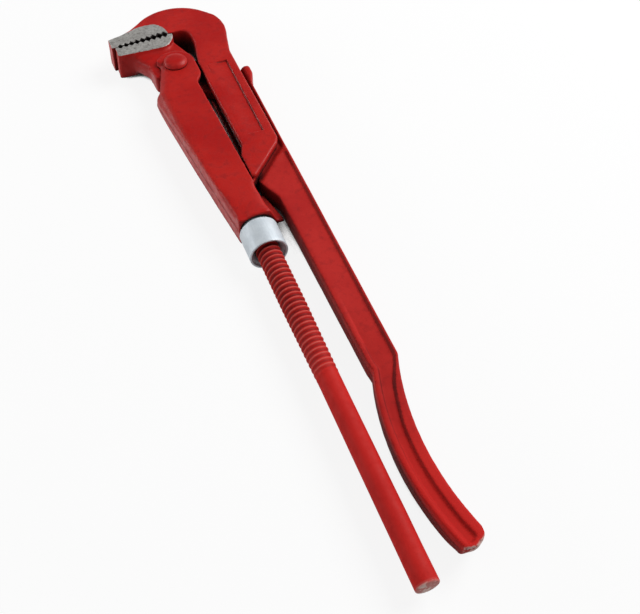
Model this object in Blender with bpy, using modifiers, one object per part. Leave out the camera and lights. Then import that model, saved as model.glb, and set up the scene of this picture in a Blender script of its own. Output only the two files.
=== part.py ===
"""Angled pipe wrench of the Swedish pattern, jaws at 90 degrees to the handles.

A hook jaw whose slotted shank runs on as a threaded round handle slides in a channel-shaped sleeve.
A lever that carries the lower jaw is riveted in the sleeve and passes through the shank's slot.
A captive round nut under the sleeve draws the hook jaw in and out.

Units are metres. The pieces are drawn in the rod's own frame: X = 0 and Z = 0 on the rod's axis,
Y up the rod towards the jaws, X towards the lever, Z towards the front face. The empty named
wrench_frame then puts the middle of the underside of the whole wrench at the world's origin.
"""

import math

import bmesh
import bpy
from mathutils import Vector

# Fits
TOUCH_GAP = 0.0003
RUNNING_GAP = 0.0004
SIDE_GAP = 0.0010

# Thicknesses, each measured along Z
HEAD_THICK = 0.0190
SLEEVE_THICK = 0.0200
SLEEVE_WALL = 0.0032
GRIP_THICK = 0.0134
WEB_THICK = 0.0070
FORGED_EDGE = 0.0010

# Threaded rod that is also the left handle
THREAD_D = 0.0142
THREAD_LAST_D = 0.0128
ROD_D = 0.0122
ROD_END_Y = -0.2110
ROD_END_CHAMFER = 0.0008
THREAD_FULL_Y = -0.0450
THREAD_LOW_Y = -0.0900
THREAD_RUNOUT = 0.0020

# Sleeve
SLEEVE_LOW_Y = 0.0168
SLEEVE_BOSS_LENGTH = 0.0232
SLEEVE_BOSS_RIGHT_X = 0.0172
SLEEVE_BOSS_TOP_RIGHT_X = 0.0122
SLEEVE_BOSS_FLAT_X = 0.0090
SLEEVE_LEFT_LOW_X = -0.0104
SLEEVE_LEFT_TOP_X = -0.0248
SLEEVE_LEFT_TOP_Y = 0.1400
SLEEVE_BACK_WALL = 0.0052
SLEEVE_BACK_ROUND = 0.0086
SLEEVE_MOUTH_X = 0.0042
SLEEVE_MOUTH_LOW_X = 0.0083
LUG_R = 0.0128
LUG_SKIRT = 0.0140
LUG_LIP = 0.0030
BOSS_LEFT_X = -0.0107
BOSS_LEFT_HALF = 0.0042
BOSS_BROW_X = -0.0030
BOSS_BROW_ROUND = 0.0080
BOSS_HALF = 0.0120
BOSS_REAR_HALF = 0.0108
BOSS_TOP_HALF = 0.0097
BOSS_RIDGE_ROUND = 0.0030
BOSS_FLANK_X = 0.0126
BOSS_FOOT_HALF = 0.0014
BOSS_FOOT_ROUND = 0.0006
BACK_ROUND_REACH = 0.0100

# Rivet
RIVET_X = -0.0040
RIVET_Y = 0.1650
RIVET_D = 0.0090
RIVET_HEAD_D = 0.0158
RIVET_HEAD_HEIGHT = 0.0035
RIVET_HEAD_FLAT_D = 0.0100
REAR_HEAD_D = 0.0150
REAR_HEAD_HEIGHT = 0.0018

# Adjusting nut and the wire ring that holds it in the sleeve
NUT_D = 0.0229
NUT_LENGTH = 0.0188
NUT_PLAY = 0.0022
NUT_EDGE = 0.0005
NUT_RIM = 0.00115
NUT_MOUTH_WALL = 0.0014
NUT_MOUTH_DEPTH = 0.0042
NUT_NECK_WALL = 0.0015
NUT_NECK_LENGTH = 0.0105
RING_WIRE_D = 0.0014
RING_FROM_NECK_TOP = 0.0030
RING_OPENING = math.radians(50)

# Jaws and teeth
BITE_Y = 0.1965
BITE_X = -0.0180
BITE_TILT = math.radians(3.0)
BITE_GAP = 0.0004
TOOTH_PITCH = 0.00387
TOOTH_DEPTH = 0.0021
TOOTH_LAND = 0.0006
TOOTH_COUNT = 9
LOWER_JAW_LEFT_X = -0.0368
LOWER_JAW_RIGHT_X = 0.0026
LOWER_JAW_HEIGHT = 0.0102
LOWER_JAW_CORNER = 0.0078
LOWER_JAW_CORNER_X = -0.0030
LOWER_JAW_LEFT_ROUND = 0.0016
LOWER_JAW_LOW_SET = 0.0006
LOWER_JAW_END_SLANT = 0.0012
LOWER_JAW_LOW_TILT = 0.0009
LOWER_JAW_RIGHT_SINK = 0.0014
LOWER_JAW_RIGHT_DROP = 0.0010
LOWER_JAW_RIGHT_SHOULDER = 0.0050
LOWER_JAW_TOP_RISE = 0.0021

# Hook jaw
HOOK_TIP_X = -0.0396
HOOK_TIP_HEIGHT = 0.0098
HOOK_TIP_DRAFT = 0.0003
HOOK_TIP_SLANT = 0.0008
HOOK_BROW_SET = 0.0108
HOOK_BROW_RISE = 0.0026
CROWN_X = 0.0055
CROWN_Y = 0.1925
CROWN_R = 0.0320
CROWN_LEFT_ANGLE = math.radians(134)
CROWN_SIDE_ANGLE = math.radians(32)
CROWN_SIDE_SHIFT = 0.0010
CROWN_RIGHT_ANGLE = math.radians(-18)
THROAT_RIGHT_X = 0.0141
THROAT_R = 0.0088
THROAT_FOOT_Y = 0.1680
THROAT_FOOT_DROP = 0.0060
THROAT_LENGTH = 0.0100

# Slotted shank of the hook jaw
SHANK_WIDTH = 0.0237
SHANK_LEAN = 0.0210
SHANK_RIGHT_LEAN = 0.0100
SHANK_TOP_Y = 0.1660
TINE_TIP_Y = 0.0492
TINE_CHAMFER_Y = 0.0705
TINE_CHAMFER = 0.0050
JUNCTION_TOP_Y = 0.0680
JUNCTION_DROP = 0.0042
CRANK_SLOPE = 0.0060
SLOT_ROOT_X = 0.0126
SLOT_ROOF_LEFT_RISE = 0.0011
SLOT_ROOF_RIGHT_RISE = 0.0081
SHANK_WAIST_RISE = 0.0090
TRAVEL = 0.0650
PAD_LEFT_X = 0.0150
PAD_RIGHT_X = 0.0283
PAD_LOW_Y = 0.0840
PAD_TOP_Y = 0.1565
PAD_DEPTH = 0.0011

# Lever: neck, arm through the slot, heel and grip
NECK_LEFT_X = -0.0206
NECK_ROOT_SET = 0.0090
NECK_ROOT_RISE = 0.0016
NECK_WAIST_LOW = 0.0060
NECK_WAIST_HIGH = 0.0070
NECK_BOSS_PROUD = 0.0001
NECK_BOSS_START = math.radians(20)
NECK_BOSS_END = math.radians(-150)
ARM_TOP_Y = 0.1740
ARM_HEEL_Y = 0.1470
ARM_ROOT_RISE = 0.0060
FLANGE_WIDTH = 0.0019
FLANGE_GAP = 0.0012
GRIP_TO_BOSS_GAP = 0.0014
HEEL_TOP_Y = 0.1500
HEEL_BULGE = 0.0037
HEEL_LENGTH = 0.0175
HEEL_BULGE_SHARE = 0.45
NOSE_X = 0.0125
GRIP_LEFT_LOW_X = 0.0205
GRIP_SHOULDER_DROP = 0.0100
GRIP_BEND_TOP_Y = -0.1010
GRIP_BEND_R = 0.1600
GRIP_BEND_Y = -0.1515
GRIP_BEND_LEFT_X = 0.0130
GRIP_BEND_WIDTH = 0.0145
GRIP_END_Y = -0.2030
GRIP_END_TILT = 0.0012
GRIP_END_CUT = math.radians(1.4)
GRIP_LEFT_BEND_RISE = 0.0060
GROOVE_DEPTH = 0.0018
GROOVE_LEFT_RIM = 0.0030
GROOVE_RIGHT_RIM = 0.0055
GROOVE_TOP_Y = 0.0600
GROOVE_TOP_LEFT_X = 0.0240
GROOVE_TOP_RIM = 0.0026
GROOVE_BEND_RISE = 0.0040
GROOVE_TOP_SHARE = 0.15
GROOVE_RUN_PAST_END = math.radians(1.2)

# Corner radii that the forgings share
CRISP_ROUND = 0.0010
SMALL_ROUND = 0.0020
MID_ROUND = 0.0030
WIDE_ROUND = 0.0060
SWEEP_ROUND = 0.0100
LONG_ROUND = 0.0200

AXIS_MARK = 0.0200
ROUND_STEPS = 48
FILLET_STEPS = 5
SHORTEST_STEP = 0.0005

# Sizes that follow from those above
CHANNEL = SLEEVE_THICK - 2 * SLEEVE_WALL
NECK_THICK = CHANNEL - 2 * RUNNING_GAP
SLOT = WEB_THICK + 2 * RUNNING_GAP
BOSS_TOP_Y = SLEEVE_LOW_Y + SLEEVE_BOSS_LENGTH
NUT_TOP_Y = SLEEVE_LOW_Y - NUT_PLAY
NUT_LOW_Y = NUT_TOP_Y - NUT_LENGTH
NUT_MOUTH_D = NUT_D - 2 * NUT_RIM
NUT_BORE_D = THREAD_D + 2 * TOUCH_GAP
NUT_NECK_D = NUT_BORE_D + 2 * NUT_NECK_WALL
NECK_TOP_Y = NUT_TOP_Y + NUT_NECK_LENGTH
COUNTERBORE_D = NUT_NECK_D + 2 * TOUCH_GAP
COUNTERBORE_TOP_Y = NECK_TOP_Y + RUNNING_GAP
RING_Y = NECK_TOP_Y - RING_FROM_NECK_TOP
RING_GROOVE = RING_WIRE_D + 2 * TOUCH_GAP
STUB_LOW_Y = TINE_TIP_Y - JUNCTION_DROP
STUB_HALF = THREAD_D / 2
SLOT_FLOOR_Y = JUNCTION_TOP_Y + SIDE_GAP
SHANK_LEFT_X = RIVET_X + LUG_R + SIDE_GAP
SHANK_RIGHT_X = SHANK_LEFT_X + SHANK_WIDTH
FLANGE_LEFT_X = SHANK_RIGHT_X + SHANK_RIGHT_LEAN * (SHANK_TOP_Y - TINE_CHAMFER_Y) + FLANGE_GAP
FLANGE_RIGHT_X = FLANGE_LEFT_X + FLANGE_WIDTH
ARM_LOW_Y = JUNCTION_TOP_Y + TRAVEL + 3 * SIDE_GAP
ARM_LEFT_X = SLOT_ROOT_X + RUNNING_GAP
GRIP_LEFT_TOP_X = SLEEVE_BOSS_RIGHT_X + GRIP_TO_BOSS_GAP
GRIP_SHOULDER_Y = BOSS_TOP_Y - GRIP_SHOULDER_DROP


def material(name, colour, roughness, metallic):
    made = bpy.data.materials.new(name)
    made.use_nodes = True
    shader = made.node_tree.nodes["Principled BSDF"]
    shader.inputs["Base Color"].default_value = (*colour, 1.0)
    shader.inputs["Roughness"].default_value = roughness
    shader.inputs["Metallic"].default_value = metallic
    return made


def arc(centre, radius, start, end, steps):
    """Points on an arc, from the start angle to the end angle in radians, both ends included."""
    turn = (end - start) / steps
    return [
        (centre[0] + radius * math.cos(start + i * turn), centre[1] + radius * math.sin(start + i * turn))
        for i in range(steps + 1)
    ]


def fillet(before, corner, after, radius, steps):
    """The arc that rounds a corner between two straight edges, cut short where an edge is."""
    here = Vector(corner)
    back, ahead = Vector(before) - here, Vector(after) - here
    half = back.angle(ahead) / 2
    reach = min(radius / math.tan(half), 0.48 * back.length, 0.48 * ahead.length)
    radius = reach * math.tan(half)
    back.normalize()
    ahead.normalize()
    middle = here + (back + ahead).normalized() * (radius / math.sin(half))
    first = here + back * reach - middle
    sweep = first.angle_signed(here + ahead * reach - middle)
    points = []
    for i in range(steps + 1):
        turn = sweep * i / steps
        points.append(
            (
                middle.x + first.x * math.cos(turn) + first.y * math.sin(turn),
                middle.y - first.x * math.sin(turn) + first.y * math.cos(turn),
            )
        )
    return points


def outline(corners, steps=FILLET_STEPS):
    """A closed outline from corners (x, y) or (x, y, radius), without points that nearly meet."""
    points = []
    for i, corner in enumerate(corners):
        if len(corner) == 2:
            points.append(corner)
            continue
        before, after = corners[i - 1][:2], corners[(i + 1) % len(corners)][:2]
        points += fillet(before, corner[:2], after, corner[2], steps)
    kept = []
    for point in points:
        if not kept or math.dist(point, kept[-1]) > SHORTEST_STEP:
            kept.append(point)
    if math.dist(kept[0], kept[-1]) < SHORTEST_STEP:
        kept.pop()
    return kept


def mesh_object(name, mesh, collection):
    thing = bpy.data.objects.new(name, mesh)
    collection.objects.link(thing)
    return thing


def plate(name, points, low, high, collection):
    """A flat outline given a thickness along Z, as a welded mesh with one face on each side."""
    curve = bpy.data.curves.new(name + "_outline", "CURVE")
    curve.dimensions = "2D"
    curve.fill_mode = "BOTH"
    curve.extrude = (high - low) / 2
    spline = curve.splines.new("POLY")
    spline.points.add(len(points) - 1)
    for place, (x, y) in zip(spline.points, points):
        place.co = (x, y, 0.0, 1.0)
    spline.use_cyclic_u = True
    drawn = mesh_object(name + "_outline", curve, collection)
    drawn.location.z = (high + low) / 2
    bpy.context.view_layer.update()
    ready = drawn.evaluated_get(bpy.context.evaluated_depsgraph_get())
    made = mesh_object(name, bpy.data.meshes.new_from_object(ready), collection)
    made.data.transform(drawn.matrix_world)
    bpy.data.objects.remove(drawn)
    shape = bmesh.new()
    shape.from_mesh(made.data)
    bmesh.ops.remove_doubles(shape, verts=shape.verts, dist=0.000002)
    bmesh.ops.dissolve_limit(shape, angle_limit=0.001, verts=shape.verts, edges=shape.edges)
    bmesh.ops.recalc_face_normals(shape, faces=shape.faces)
    shape.to_mesh(made.data)
    shape.free()
    return made


def turned(name, profile, place, turn, collection, steps=ROUND_STEPS):
    """A turned shape: (radius, height) points down the outer side, closed on the axis or as a ring."""
    mesh = bpy.data.meshes.new(name)
    shape = bmesh.new()
    dots = [shape.verts.new((radius, 0.0, height)) for radius, height in profile]
    for one, two in zip(dots, dots[1:]):
        shape.edges.new((one, two))
    if profile[0][0] > 0 and profile[-1][0] > 0:
        shape.edges.new((dots[-1], dots[0]))
    shape.to_mesh(mesh)
    shape.free()
    made = mesh_object(name, mesh, collection)
    made.location = place
    made.rotation_euler = turn
    screw = made.modifiers.new("turn", "SCREW")
    screw.steps = screw.render_steps = steps
    screw.use_merge_vertices = True
    screw.merge_threshold = 0.00001
    screw.use_smooth_shade = True
    return made


def soften(thing, width, wanted, segments=2):
    """Rounds the rim edges of a plate whose two ends both pass the test."""
    weights = thing.data.attributes.new("bevel_weight_edge", "FLOAT", "EDGE")
    for edge in thing.data.edges:
        one, two = (thing.data.vertices[i].co for i in edge.vertices)
        on_rim = abs(one.z - two.z) < SHORTEST_STEP
        weights.data[edge.index].value = 1.0 if on_rim and wanted(one) and wanted(two) else 0.0
    bevel = thing.modifiers.new("forged edges", "BEVEL")
    bevel.limit_method = "WEIGHT"
    bevel.width = width
    bevel.segments = segments
    bevel.use_clamp_overlap = False
    thing.modifiers.new("flat faces only", "TRIANGULATE")


def slant_end(thing, end_x, by):
    """Carries the rear rim of a jaw's left end further out, fading over a short way along the jaw."""
    for vertex in thing.data.vertices:
        share = min(1.0, (end_x + MID_ROUND / 2 - vertex.co.x) / (MID_ROUND / 2))
        if vertex.co.z < 0 and share > 0:
            vertex.co.x -= by * share


def combine(thing, other, operation):
    """Cuts or joins with a Boolean; the other shape stays in the scene as a hidden guide."""
    other.hide_render = True
    other.display_type = "WIRE"
    step = thing.modifiers.new(operation.lower() + " " + other.name, "BOOLEAN")
    step.operation = operation
    step.solver = "EXACT"
    step.object = other


def bite_point(along, above):
    """A point on the tilted tooth line: along it from its middle, and above it."""
    cos, sin = math.cos(BITE_TILT), math.sin(BITE_TILT)
    return (BITE_X + along * cos - above * sin, BITE_Y + along * sin + above * cos)


def teeth(side):
    """The toothed edge from left to right: side is +1 on the hook jaw and -1 on the lower jaw."""
    crest = side * BITE_GAP / 2
    valley = crest + side * TOOTH_DEPTH
    points = []
    first = -TOOTH_COUNT * TOOTH_PITCH / 2
    for i in range(TOOTH_COUNT):
        left = first + i * TOOTH_PITCH
        points.append(bite_point(left + TOOTH_LAND / 2, crest))
        points.append(bite_point(left + TOOTH_PITCH / 2, valley))
    points.append(bite_point(first + TOOTH_COUNT * TOOTH_PITCH - TOOTH_LAND / 2, crest))
    return points


def shank_left(y):
    return SHANK_LEFT_X + SHANK_LEAN * (SHANK_TOP_Y - y)


def shank_right(y):
    return SHANK_RIGHT_X + SHANK_RIGHT_LEAN * (SHANK_TOP_Y - y)


def mouth_edge(y):
    """X of the sleeve's right-hand front edge, which leans out towards the boss."""
    share = (SLEEVE_LEFT_TOP_Y - y) / (SLEEVE_LEFT_TOP_Y - BOSS_TOP_Y)
    return SLEEVE_MOUTH_X + (SLEEVE_MOUTH_LOW_X - SLEEVE_MOUTH_X) * share


def sleeve_back(y):
    """X of the sleeve's back, which leans in towards the boss."""
    share = (y - SLEEVE_LOW_Y) / (SLEEVE_LEFT_TOP_Y - SLEEVE_LOW_Y)
    return SLEEVE_LEFT_LOW_X + (SLEEVE_LEFT_TOP_X - SLEEVE_LEFT_LOW_X) * share


def tine_edge(x):
    """Y of the slanting lower edge of the two tines."""
    left, right = NOSE_X, shank_right(TINE_CHAMFER_Y) - TINE_CHAMFER / 2
    rise = (TINE_CHAMFER_Y - TINE_TIP_Y - SIDE_GAP) / (right - left)
    return TINE_TIP_Y + SIDE_GAP + rise * (x - left)


def rivet_hole(name, cutters):
    radius, reach = RIVET_D / 2 + TOUCH_GAP, HEAD_THICK
    profile = [(0.0, reach), (radius, reach), (radius, -reach), (0.0, -reach)]
    return turned(name, profile, (RIVET_X, RIVET_Y, 0), (0, 0, 0), cutters)


def make_hook_leg(parts, cutters, finish):
    """Upper jaw, and the shank whose slot leaves a front and a rear tine."""
    tip = bite_point((HOOK_TIP_X + HOOK_TIP_DRAFT - BITE_X) / math.cos(BITE_TILT), BITE_GAP / 2)
    crown = arc((CROWN_X, CROWN_Y), CROWN_R, CROWN_LEFT_ANGLE, CROWN_SIDE_ANGLE, 15)
    side_centre = (CROWN_X + CROWN_SIDE_SHIFT, CROWN_Y)
    crown += arc(side_centre, CROWN_R, CROWN_SIDE_ANGLE, CROWN_RIGHT_ANGLE, 8)[1:]
    bite = teeth(1)
    chamfer_x = shank_right(TINE_CHAMFER_Y) - TINE_CHAMFER / 2
    side_y = TINE_CHAMFER_Y + TINE_CHAMFER
    tip_x = NOSE_X - SIDE_GAP
    waist_y = JUNCTION_TOP_Y + SHANK_WAIST_RISE
    throat_y = THROAT_FOOT_Y - THROAT_FOOT_DROP
    corners = [
        tip,
        (HOOK_TIP_X, tip[1] + HOOK_TIP_HEIGHT),
        (crown[0][0] - HOOK_BROW_SET, tip[1] + HOOK_TIP_HEIGHT + HOOK_BROW_RISE, LONG_ROUND),
        *crown,
        (shank_right(SHANK_TOP_Y), SHANK_TOP_Y, LONG_ROUND),
        (shank_right(side_y), side_y, MID_ROUND),
        (chamfer_x, TINE_CHAMFER_Y, MID_ROUND),
        (tip_x, tine_edge(tip_x), SMALL_ROUND),
        (mouth_edge(TINE_TIP_Y) + SIDE_GAP / 2, TINE_TIP_Y),
        (mouth_edge(JUNCTION_TOP_Y) + SIDE_GAP, JUNCTION_TOP_Y, SMALL_ROUND),
        (shank_left(waist_y), waist_y, WIDE_ROUND),
        (shank_left(throat_y), throat_y, SWEEP_ROUND),
        (THROAT_RIGHT_X, CROWN_Y - THROAT_LENGTH, LONG_ROUND),
        (THROAT_RIGHT_X, bite[-1][1] + BITE_GAP / 2, THROAT_R),
        *bite[::-1],
    ]
    leg = plate("hook_leg", outline(corners), -HEAD_THICK / 2, HEAD_THICK / 2, parts)
    slant_end(leg, HOOK_TIP_X, HOOK_TIP_SLANT)
    face_top_y = BITE_Y + HOOK_TIP_HEIGHT + HOOK_BROW_RISE
    soften(leg, FORGED_EDGE, lambda p: p.x > 0.0 and p.y < CROWN_Y or p.y > face_top_y)

    stub = outline(
        [
            (-STUB_HALF, STUB_LOW_Y),
            (STUB_HALF, STUB_LOW_Y),
            (SLOT_ROOT_X, tine_edge(SLOT_ROOT_X) + SIDE_GAP / 2),
            (SLOT_ROOT_X, SLOT_FLOOR_Y, SMALL_ROUND),
            (mouth_edge(JUNCTION_TOP_Y), JUNCTION_TOP_Y, MID_ROUND),
            (-STUB_HALF, JUNCTION_TOP_Y - CRANK_SLOPE, WIDE_ROUND),
        ]
    )
    combine(leg, plate("crank_to_rod", stub, -NECK_THICK / 2, NECK_THICK / 2, cutters), "UNION")

    beyond = 2 * FLANGE_RIGHT_X
    roof_left = (THROAT_RIGHT_X, ARM_TOP_Y + SLOT_ROOF_LEFT_RISE)
    roof_right = (FLANGE_LEFT_X, ARM_HEEL_Y + SLOT_ROOF_RIGHT_RISE)
    slope = (roof_right[1] - roof_left[1]) / (roof_right[0] - roof_left[0])
    slot = [
        (0.0, SLOT_FLOOR_Y),
        (0.0, roof_left[1] - slope * roof_left[0]),
        (beyond, roof_left[1] + slope * (beyond - roof_left[0])),
        (beyond, 0.0),
        (SLOT_ROOT_X, 0.0),
        (SLOT_ROOT_X, SLOT_FLOOR_Y),
    ]
    combine(leg, plate("shank_slot", slot, -SLOT / 2, SLOT / 2, cutters), "DIFFERENCE")

    pad = outline(
        [
            (0.0, 0.0, CRISP_ROUND),
            (PAD_RIGHT_X - PAD_LEFT_X, 0.0, CRISP_ROUND),
            (PAD_RIGHT_X - PAD_LEFT_X, PAD_TOP_Y - PAD_LOW_Y, CRISP_ROUND),
            (0.0, PAD_TOP_Y - PAD_LOW_Y, CRISP_ROUND),
        ]
    )
    sunk = plate("name_pad", pad, 0.0, HEAD_THICK, cutters)
    sunk.location = (PAD_LEFT_X, PAD_LOW_Y, HEAD_THICK / 2 - PAD_DEPTH * 0.25)
    sunk.rotation_euler.x = -math.atan(PAD_DEPTH * 0.75 / (PAD_TOP_Y - PAD_LOW_Y))
    combine(leg, sunk, "DIFFERENCE")
    leg.data.materials.append(finish)
    return leg


def make_rod(parts, finish):
    """Round bar: rolled thread at its upper end, shallower towards the plain handle below."""
    top = STUB_LOW_Y - TOUCH_GAP
    thread_r, rod_r = THREAD_D / 2, ROD_D / 2
    profile = [
        (0.0, top),
        (thread_r, top),
        (thread_r, THREAD_FULL_Y),
        (THREAD_LAST_D / 2, THREAD_LOW_Y),
        (rod_r, THREAD_LOW_Y - THREAD_RUNOUT),
        (rod_r, ROD_END_Y + ROD_END_CHAMFER),
        (rod_r - ROD_END_CHAMFER, ROD_END_Y),
        (0.0, ROD_END_Y),
    ]
    rod = turned("threaded_rod", profile, (0, 0, 0), (math.radians(-90), 0, 0), parts)
    rod.data.materials.append(finish)
    return rod


def make_lever(parts, cutters, finish):
    """Lower jaw, neck at the rivet, thin arm through the slot, heel, and I-section grip."""
    bite = teeth(-1)
    left = bite_point((LOWER_JAW_LEFT_X - BITE_X) / math.cos(BITE_TILT), -BITE_GAP / 2)
    right_along = (LOWER_JAW_RIGHT_X - BITE_X) / math.cos(BITE_TILT)
    right = bite_point(right_along, -BITE_GAP / 2 - LOWER_JAW_RIGHT_DROP)
    jaw_low_y = left[1] - LOWER_JAW_HEIGHT + LOWER_JAW_LOW_TILT
    shoulder_y = left[1] + LOWER_JAW_TOP_RISE - LOWER_JAW_RIGHT_SHOULDER
    jaw = outline(
        [
            left,
            *bite,
            right,
            (LOWER_JAW_RIGHT_X - BITE_GAP, shoulder_y, MID_ROUND),
            (LOWER_JAW_CORNER_X, jaw_low_y - LOWER_JAW_RIGHT_SINK, LOWER_JAW_CORNER),
            (LOWER_JAW_LEFT_X - LOWER_JAW_LOW_SET, jaw_low_y, LOWER_JAW_LEFT_ROUND),
        ]
    )
    lever = plate("lever_with_lower_jaw", jaw, -HEAD_THICK / 2, HEAD_THICK / 2, parts)
    slant_end(lever, LOWER_JAW_LEFT_X, LOWER_JAW_END_SLANT)
    lever.modifiers.new("flat faces only", "TRIANGULATE")

    boss_r = LUG_R + NECK_BOSS_PROUD
    disc = arc((RIVET_X, RIVET_Y), boss_r, NECK_BOSS_START, NECK_BOSS_END, 16)
    neck = outline(
        [
            (NECK_LEFT_X - NECK_ROOT_SET, jaw_low_y + NECK_ROOT_RISE),
            (LOWER_JAW_RIGHT_X - SIDE_GAP, shoulder_y),
            (SHANK_LEFT_X - SIDE_GAP, ARM_TOP_Y, WIDE_ROUND),
            *disc,
            (NECK_LEFT_X + SIDE_GAP, RIVET_Y - NECK_WAIST_LOW, MID_ROUND),
            (NECK_LEFT_X, RIVET_Y + NECK_WAIST_HIGH, WIDE_ROUND),
        ]
    )
    combine(lever, plate("neck", neck, -NECK_THICK / 2, NECK_THICK / 2, cutters), "UNION")

    inner_x = FLANGE_RIGHT_X - FLANGE_WIDTH / 3
    arm = outline(
        [
            (RIVET_X, RIVET_Y + RIVET_D / 2),
            (SHANK_LEFT_X - SIDE_GAP, ARM_TOP_Y - RUNNING_GAP, WIDE_ROUND),
            (SHANK_RIGHT_X - SIDE_GAP, ARM_HEEL_Y, SWEEP_ROUND),
            (inner_x, ARM_HEEL_Y),
            (inner_x, GRIP_SHOULDER_Y),
            (GRIP_LEFT_TOP_X + SIDE_GAP, GRIP_SHOULDER_Y),
            (ARM_LEFT_X + SIDE_GAP, BOSS_TOP_Y + 3 * SIDE_GAP),
            (ARM_LEFT_X, TINE_TIP_Y),
            (ARM_LEFT_X, ARM_LOW_Y, MID_ROUND),
            (RIVET_X + RIVET_D / 4, ARM_LOW_Y + ARM_ROOT_RISE, SWEEP_ROUND),
            (RIVET_X - LUG_R / 2, RIVET_Y - LUG_R / 2),
        ]
    )
    combine(lever, plate("arm", arm, -WEB_THICK / 2, WEB_THICK / 2, cutters), "UNION")

    left_centre = (GRIP_BEND_LEFT_X + GRIP_BEND_R, GRIP_BEND_Y)
    right_centre = (GRIP_BEND_LEFT_X + GRIP_BEND_WIDTH + GRIP_BEND_R, GRIP_BEND_Y)
    bend_start = math.pi - math.asin((GRIP_BEND_TOP_Y - GRIP_BEND_Y) / GRIP_BEND_R)
    right_start = math.pi - math.acos((right_centre[0] - FLANGE_RIGHT_X) / GRIP_BEND_R)
    bend_end = math.pi + math.asin((GRIP_BEND_Y - GRIP_END_Y) / GRIP_BEND_R)
    left_side = arc(left_centre, GRIP_BEND_R, bend_start, bend_end, 14)
    right_side = arc(right_centre, GRIP_BEND_R, right_start, bend_end - GRIP_END_CUT, 14)
    slope_gap = 1.5 * SIDE_GAP
    grip = outline(
        [
            (NOSE_X, tine_edge(NOSE_X) - slope_gap, CRISP_ROUND),
            (FLANGE_LEFT_X, tine_edge(FLANGE_LEFT_X) - slope_gap, SMALL_ROUND),
            (FLANGE_LEFT_X, HEEL_TOP_Y, CRISP_ROUND),
            (FLANGE_RIGHT_X + HEEL_BULGE, HEEL_TOP_Y, SMALL_ROUND),
            (FLANGE_RIGHT_X + HEEL_BULGE, HEEL_TOP_Y - HEEL_LENGTH * HEEL_BULGE_SHARE, MID_ROUND),
            (FLANGE_RIGHT_X, HEEL_TOP_Y - HEEL_LENGTH, WIDE_ROUND),
            *right_side,
            (GRIP_BEND_LEFT_X + GRIP_BEND_WIDTH, GRIP_END_Y - GRIP_END_TILT, WIDE_ROUND),
            *left_side[::-1],
            (GRIP_LEFT_LOW_X, GRIP_BEND_TOP_Y + GRIP_LEFT_BEND_RISE, LONG_ROUND),
            (GRIP_LEFT_TOP_X, GRIP_SHOULDER_Y, WIDE_ROUND),
            (SLEEVE_BOSS_TOP_RIGHT_X + 1.5 * SIDE_GAP, BOSS_TOP_Y, WIDE_ROUND),
            (NOSE_X, BOSS_TOP_Y + 4 * SIDE_GAP, MID_ROUND),
        ]
    )
    beam = plate("grip", grip, -GRIP_THICK / 2, GRIP_THICK / 2, cutters)
    soften(beam, FORGED_EDGE, lambda p: p.y < TINE_TIP_Y - SIDE_GAP or p.x > FLANGE_LEFT_X + TOUCH_GAP)
    combine(lever, beam, "UNION")

    for side in (1, -1):
        groove = make_groove(side, left_centre, right_centre, bend_start, right_start, bend_end, cutters)
        combine(lever, groove, "DIFFERENCE")

    combine(lever, rivet_hole("rivet_hole_in_neck", cutters), "DIFFERENCE")
    lever.data.materials.append(finish)
    return lever


def make_groove(side, left_centre, right_centre, left_start, right_start, end, cutters):
    """The hollow along one face of the grip: it deepens down the straight and stays deep in the bend."""
    end += GROOVE_RUN_PAST_END
    left = arc(left_centre, GRIP_BEND_R - GROOVE_LEFT_RIM, left_start, end, 14)
    right = arc(right_centre, GRIP_BEND_R + GROOVE_RIGHT_RIM, right_start, end, 14)
    points = [
        (GROOVE_TOP_LEFT_X, GROOVE_TOP_Y),
        (FLANGE_RIGHT_X - GROOVE_TOP_RIM, GROOVE_TOP_Y),
        (FLANGE_RIGHT_X - GROOVE_TOP_RIM, GRIP_BEND_TOP_Y + 2 * GROOVE_BEND_RISE),
        *right,
        *left[::-1],
        (GROOVE_TOP_LEFT_X, GRIP_BEND_TOP_Y + GROOVE_BEND_RISE),
    ]
    face = GRIP_THICK / 2
    name = "groove_front" if side > 0 else "groove_rear"
    low, high = sorted((side * (face - GROOVE_DEPTH), side * GRIP_THICK))
    cutter = plate(name, points, low, high, cutters)
    floor_z = side * (face - GROOVE_DEPTH)
    run = GROOVE_TOP_Y - GRIP_BEND_TOP_Y
    for vertex in cutter.data.vertices:
        rise = max(0.0, vertex.co.y - GRIP_BEND_TOP_Y) / run
        if abs(vertex.co.z - floor_z) < SHORTEST_STEP:
            vertex.co.z += side * rise * GROOVE_DEPTH * (1 - GROOVE_TOP_SHARE)
    return cutter


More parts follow.
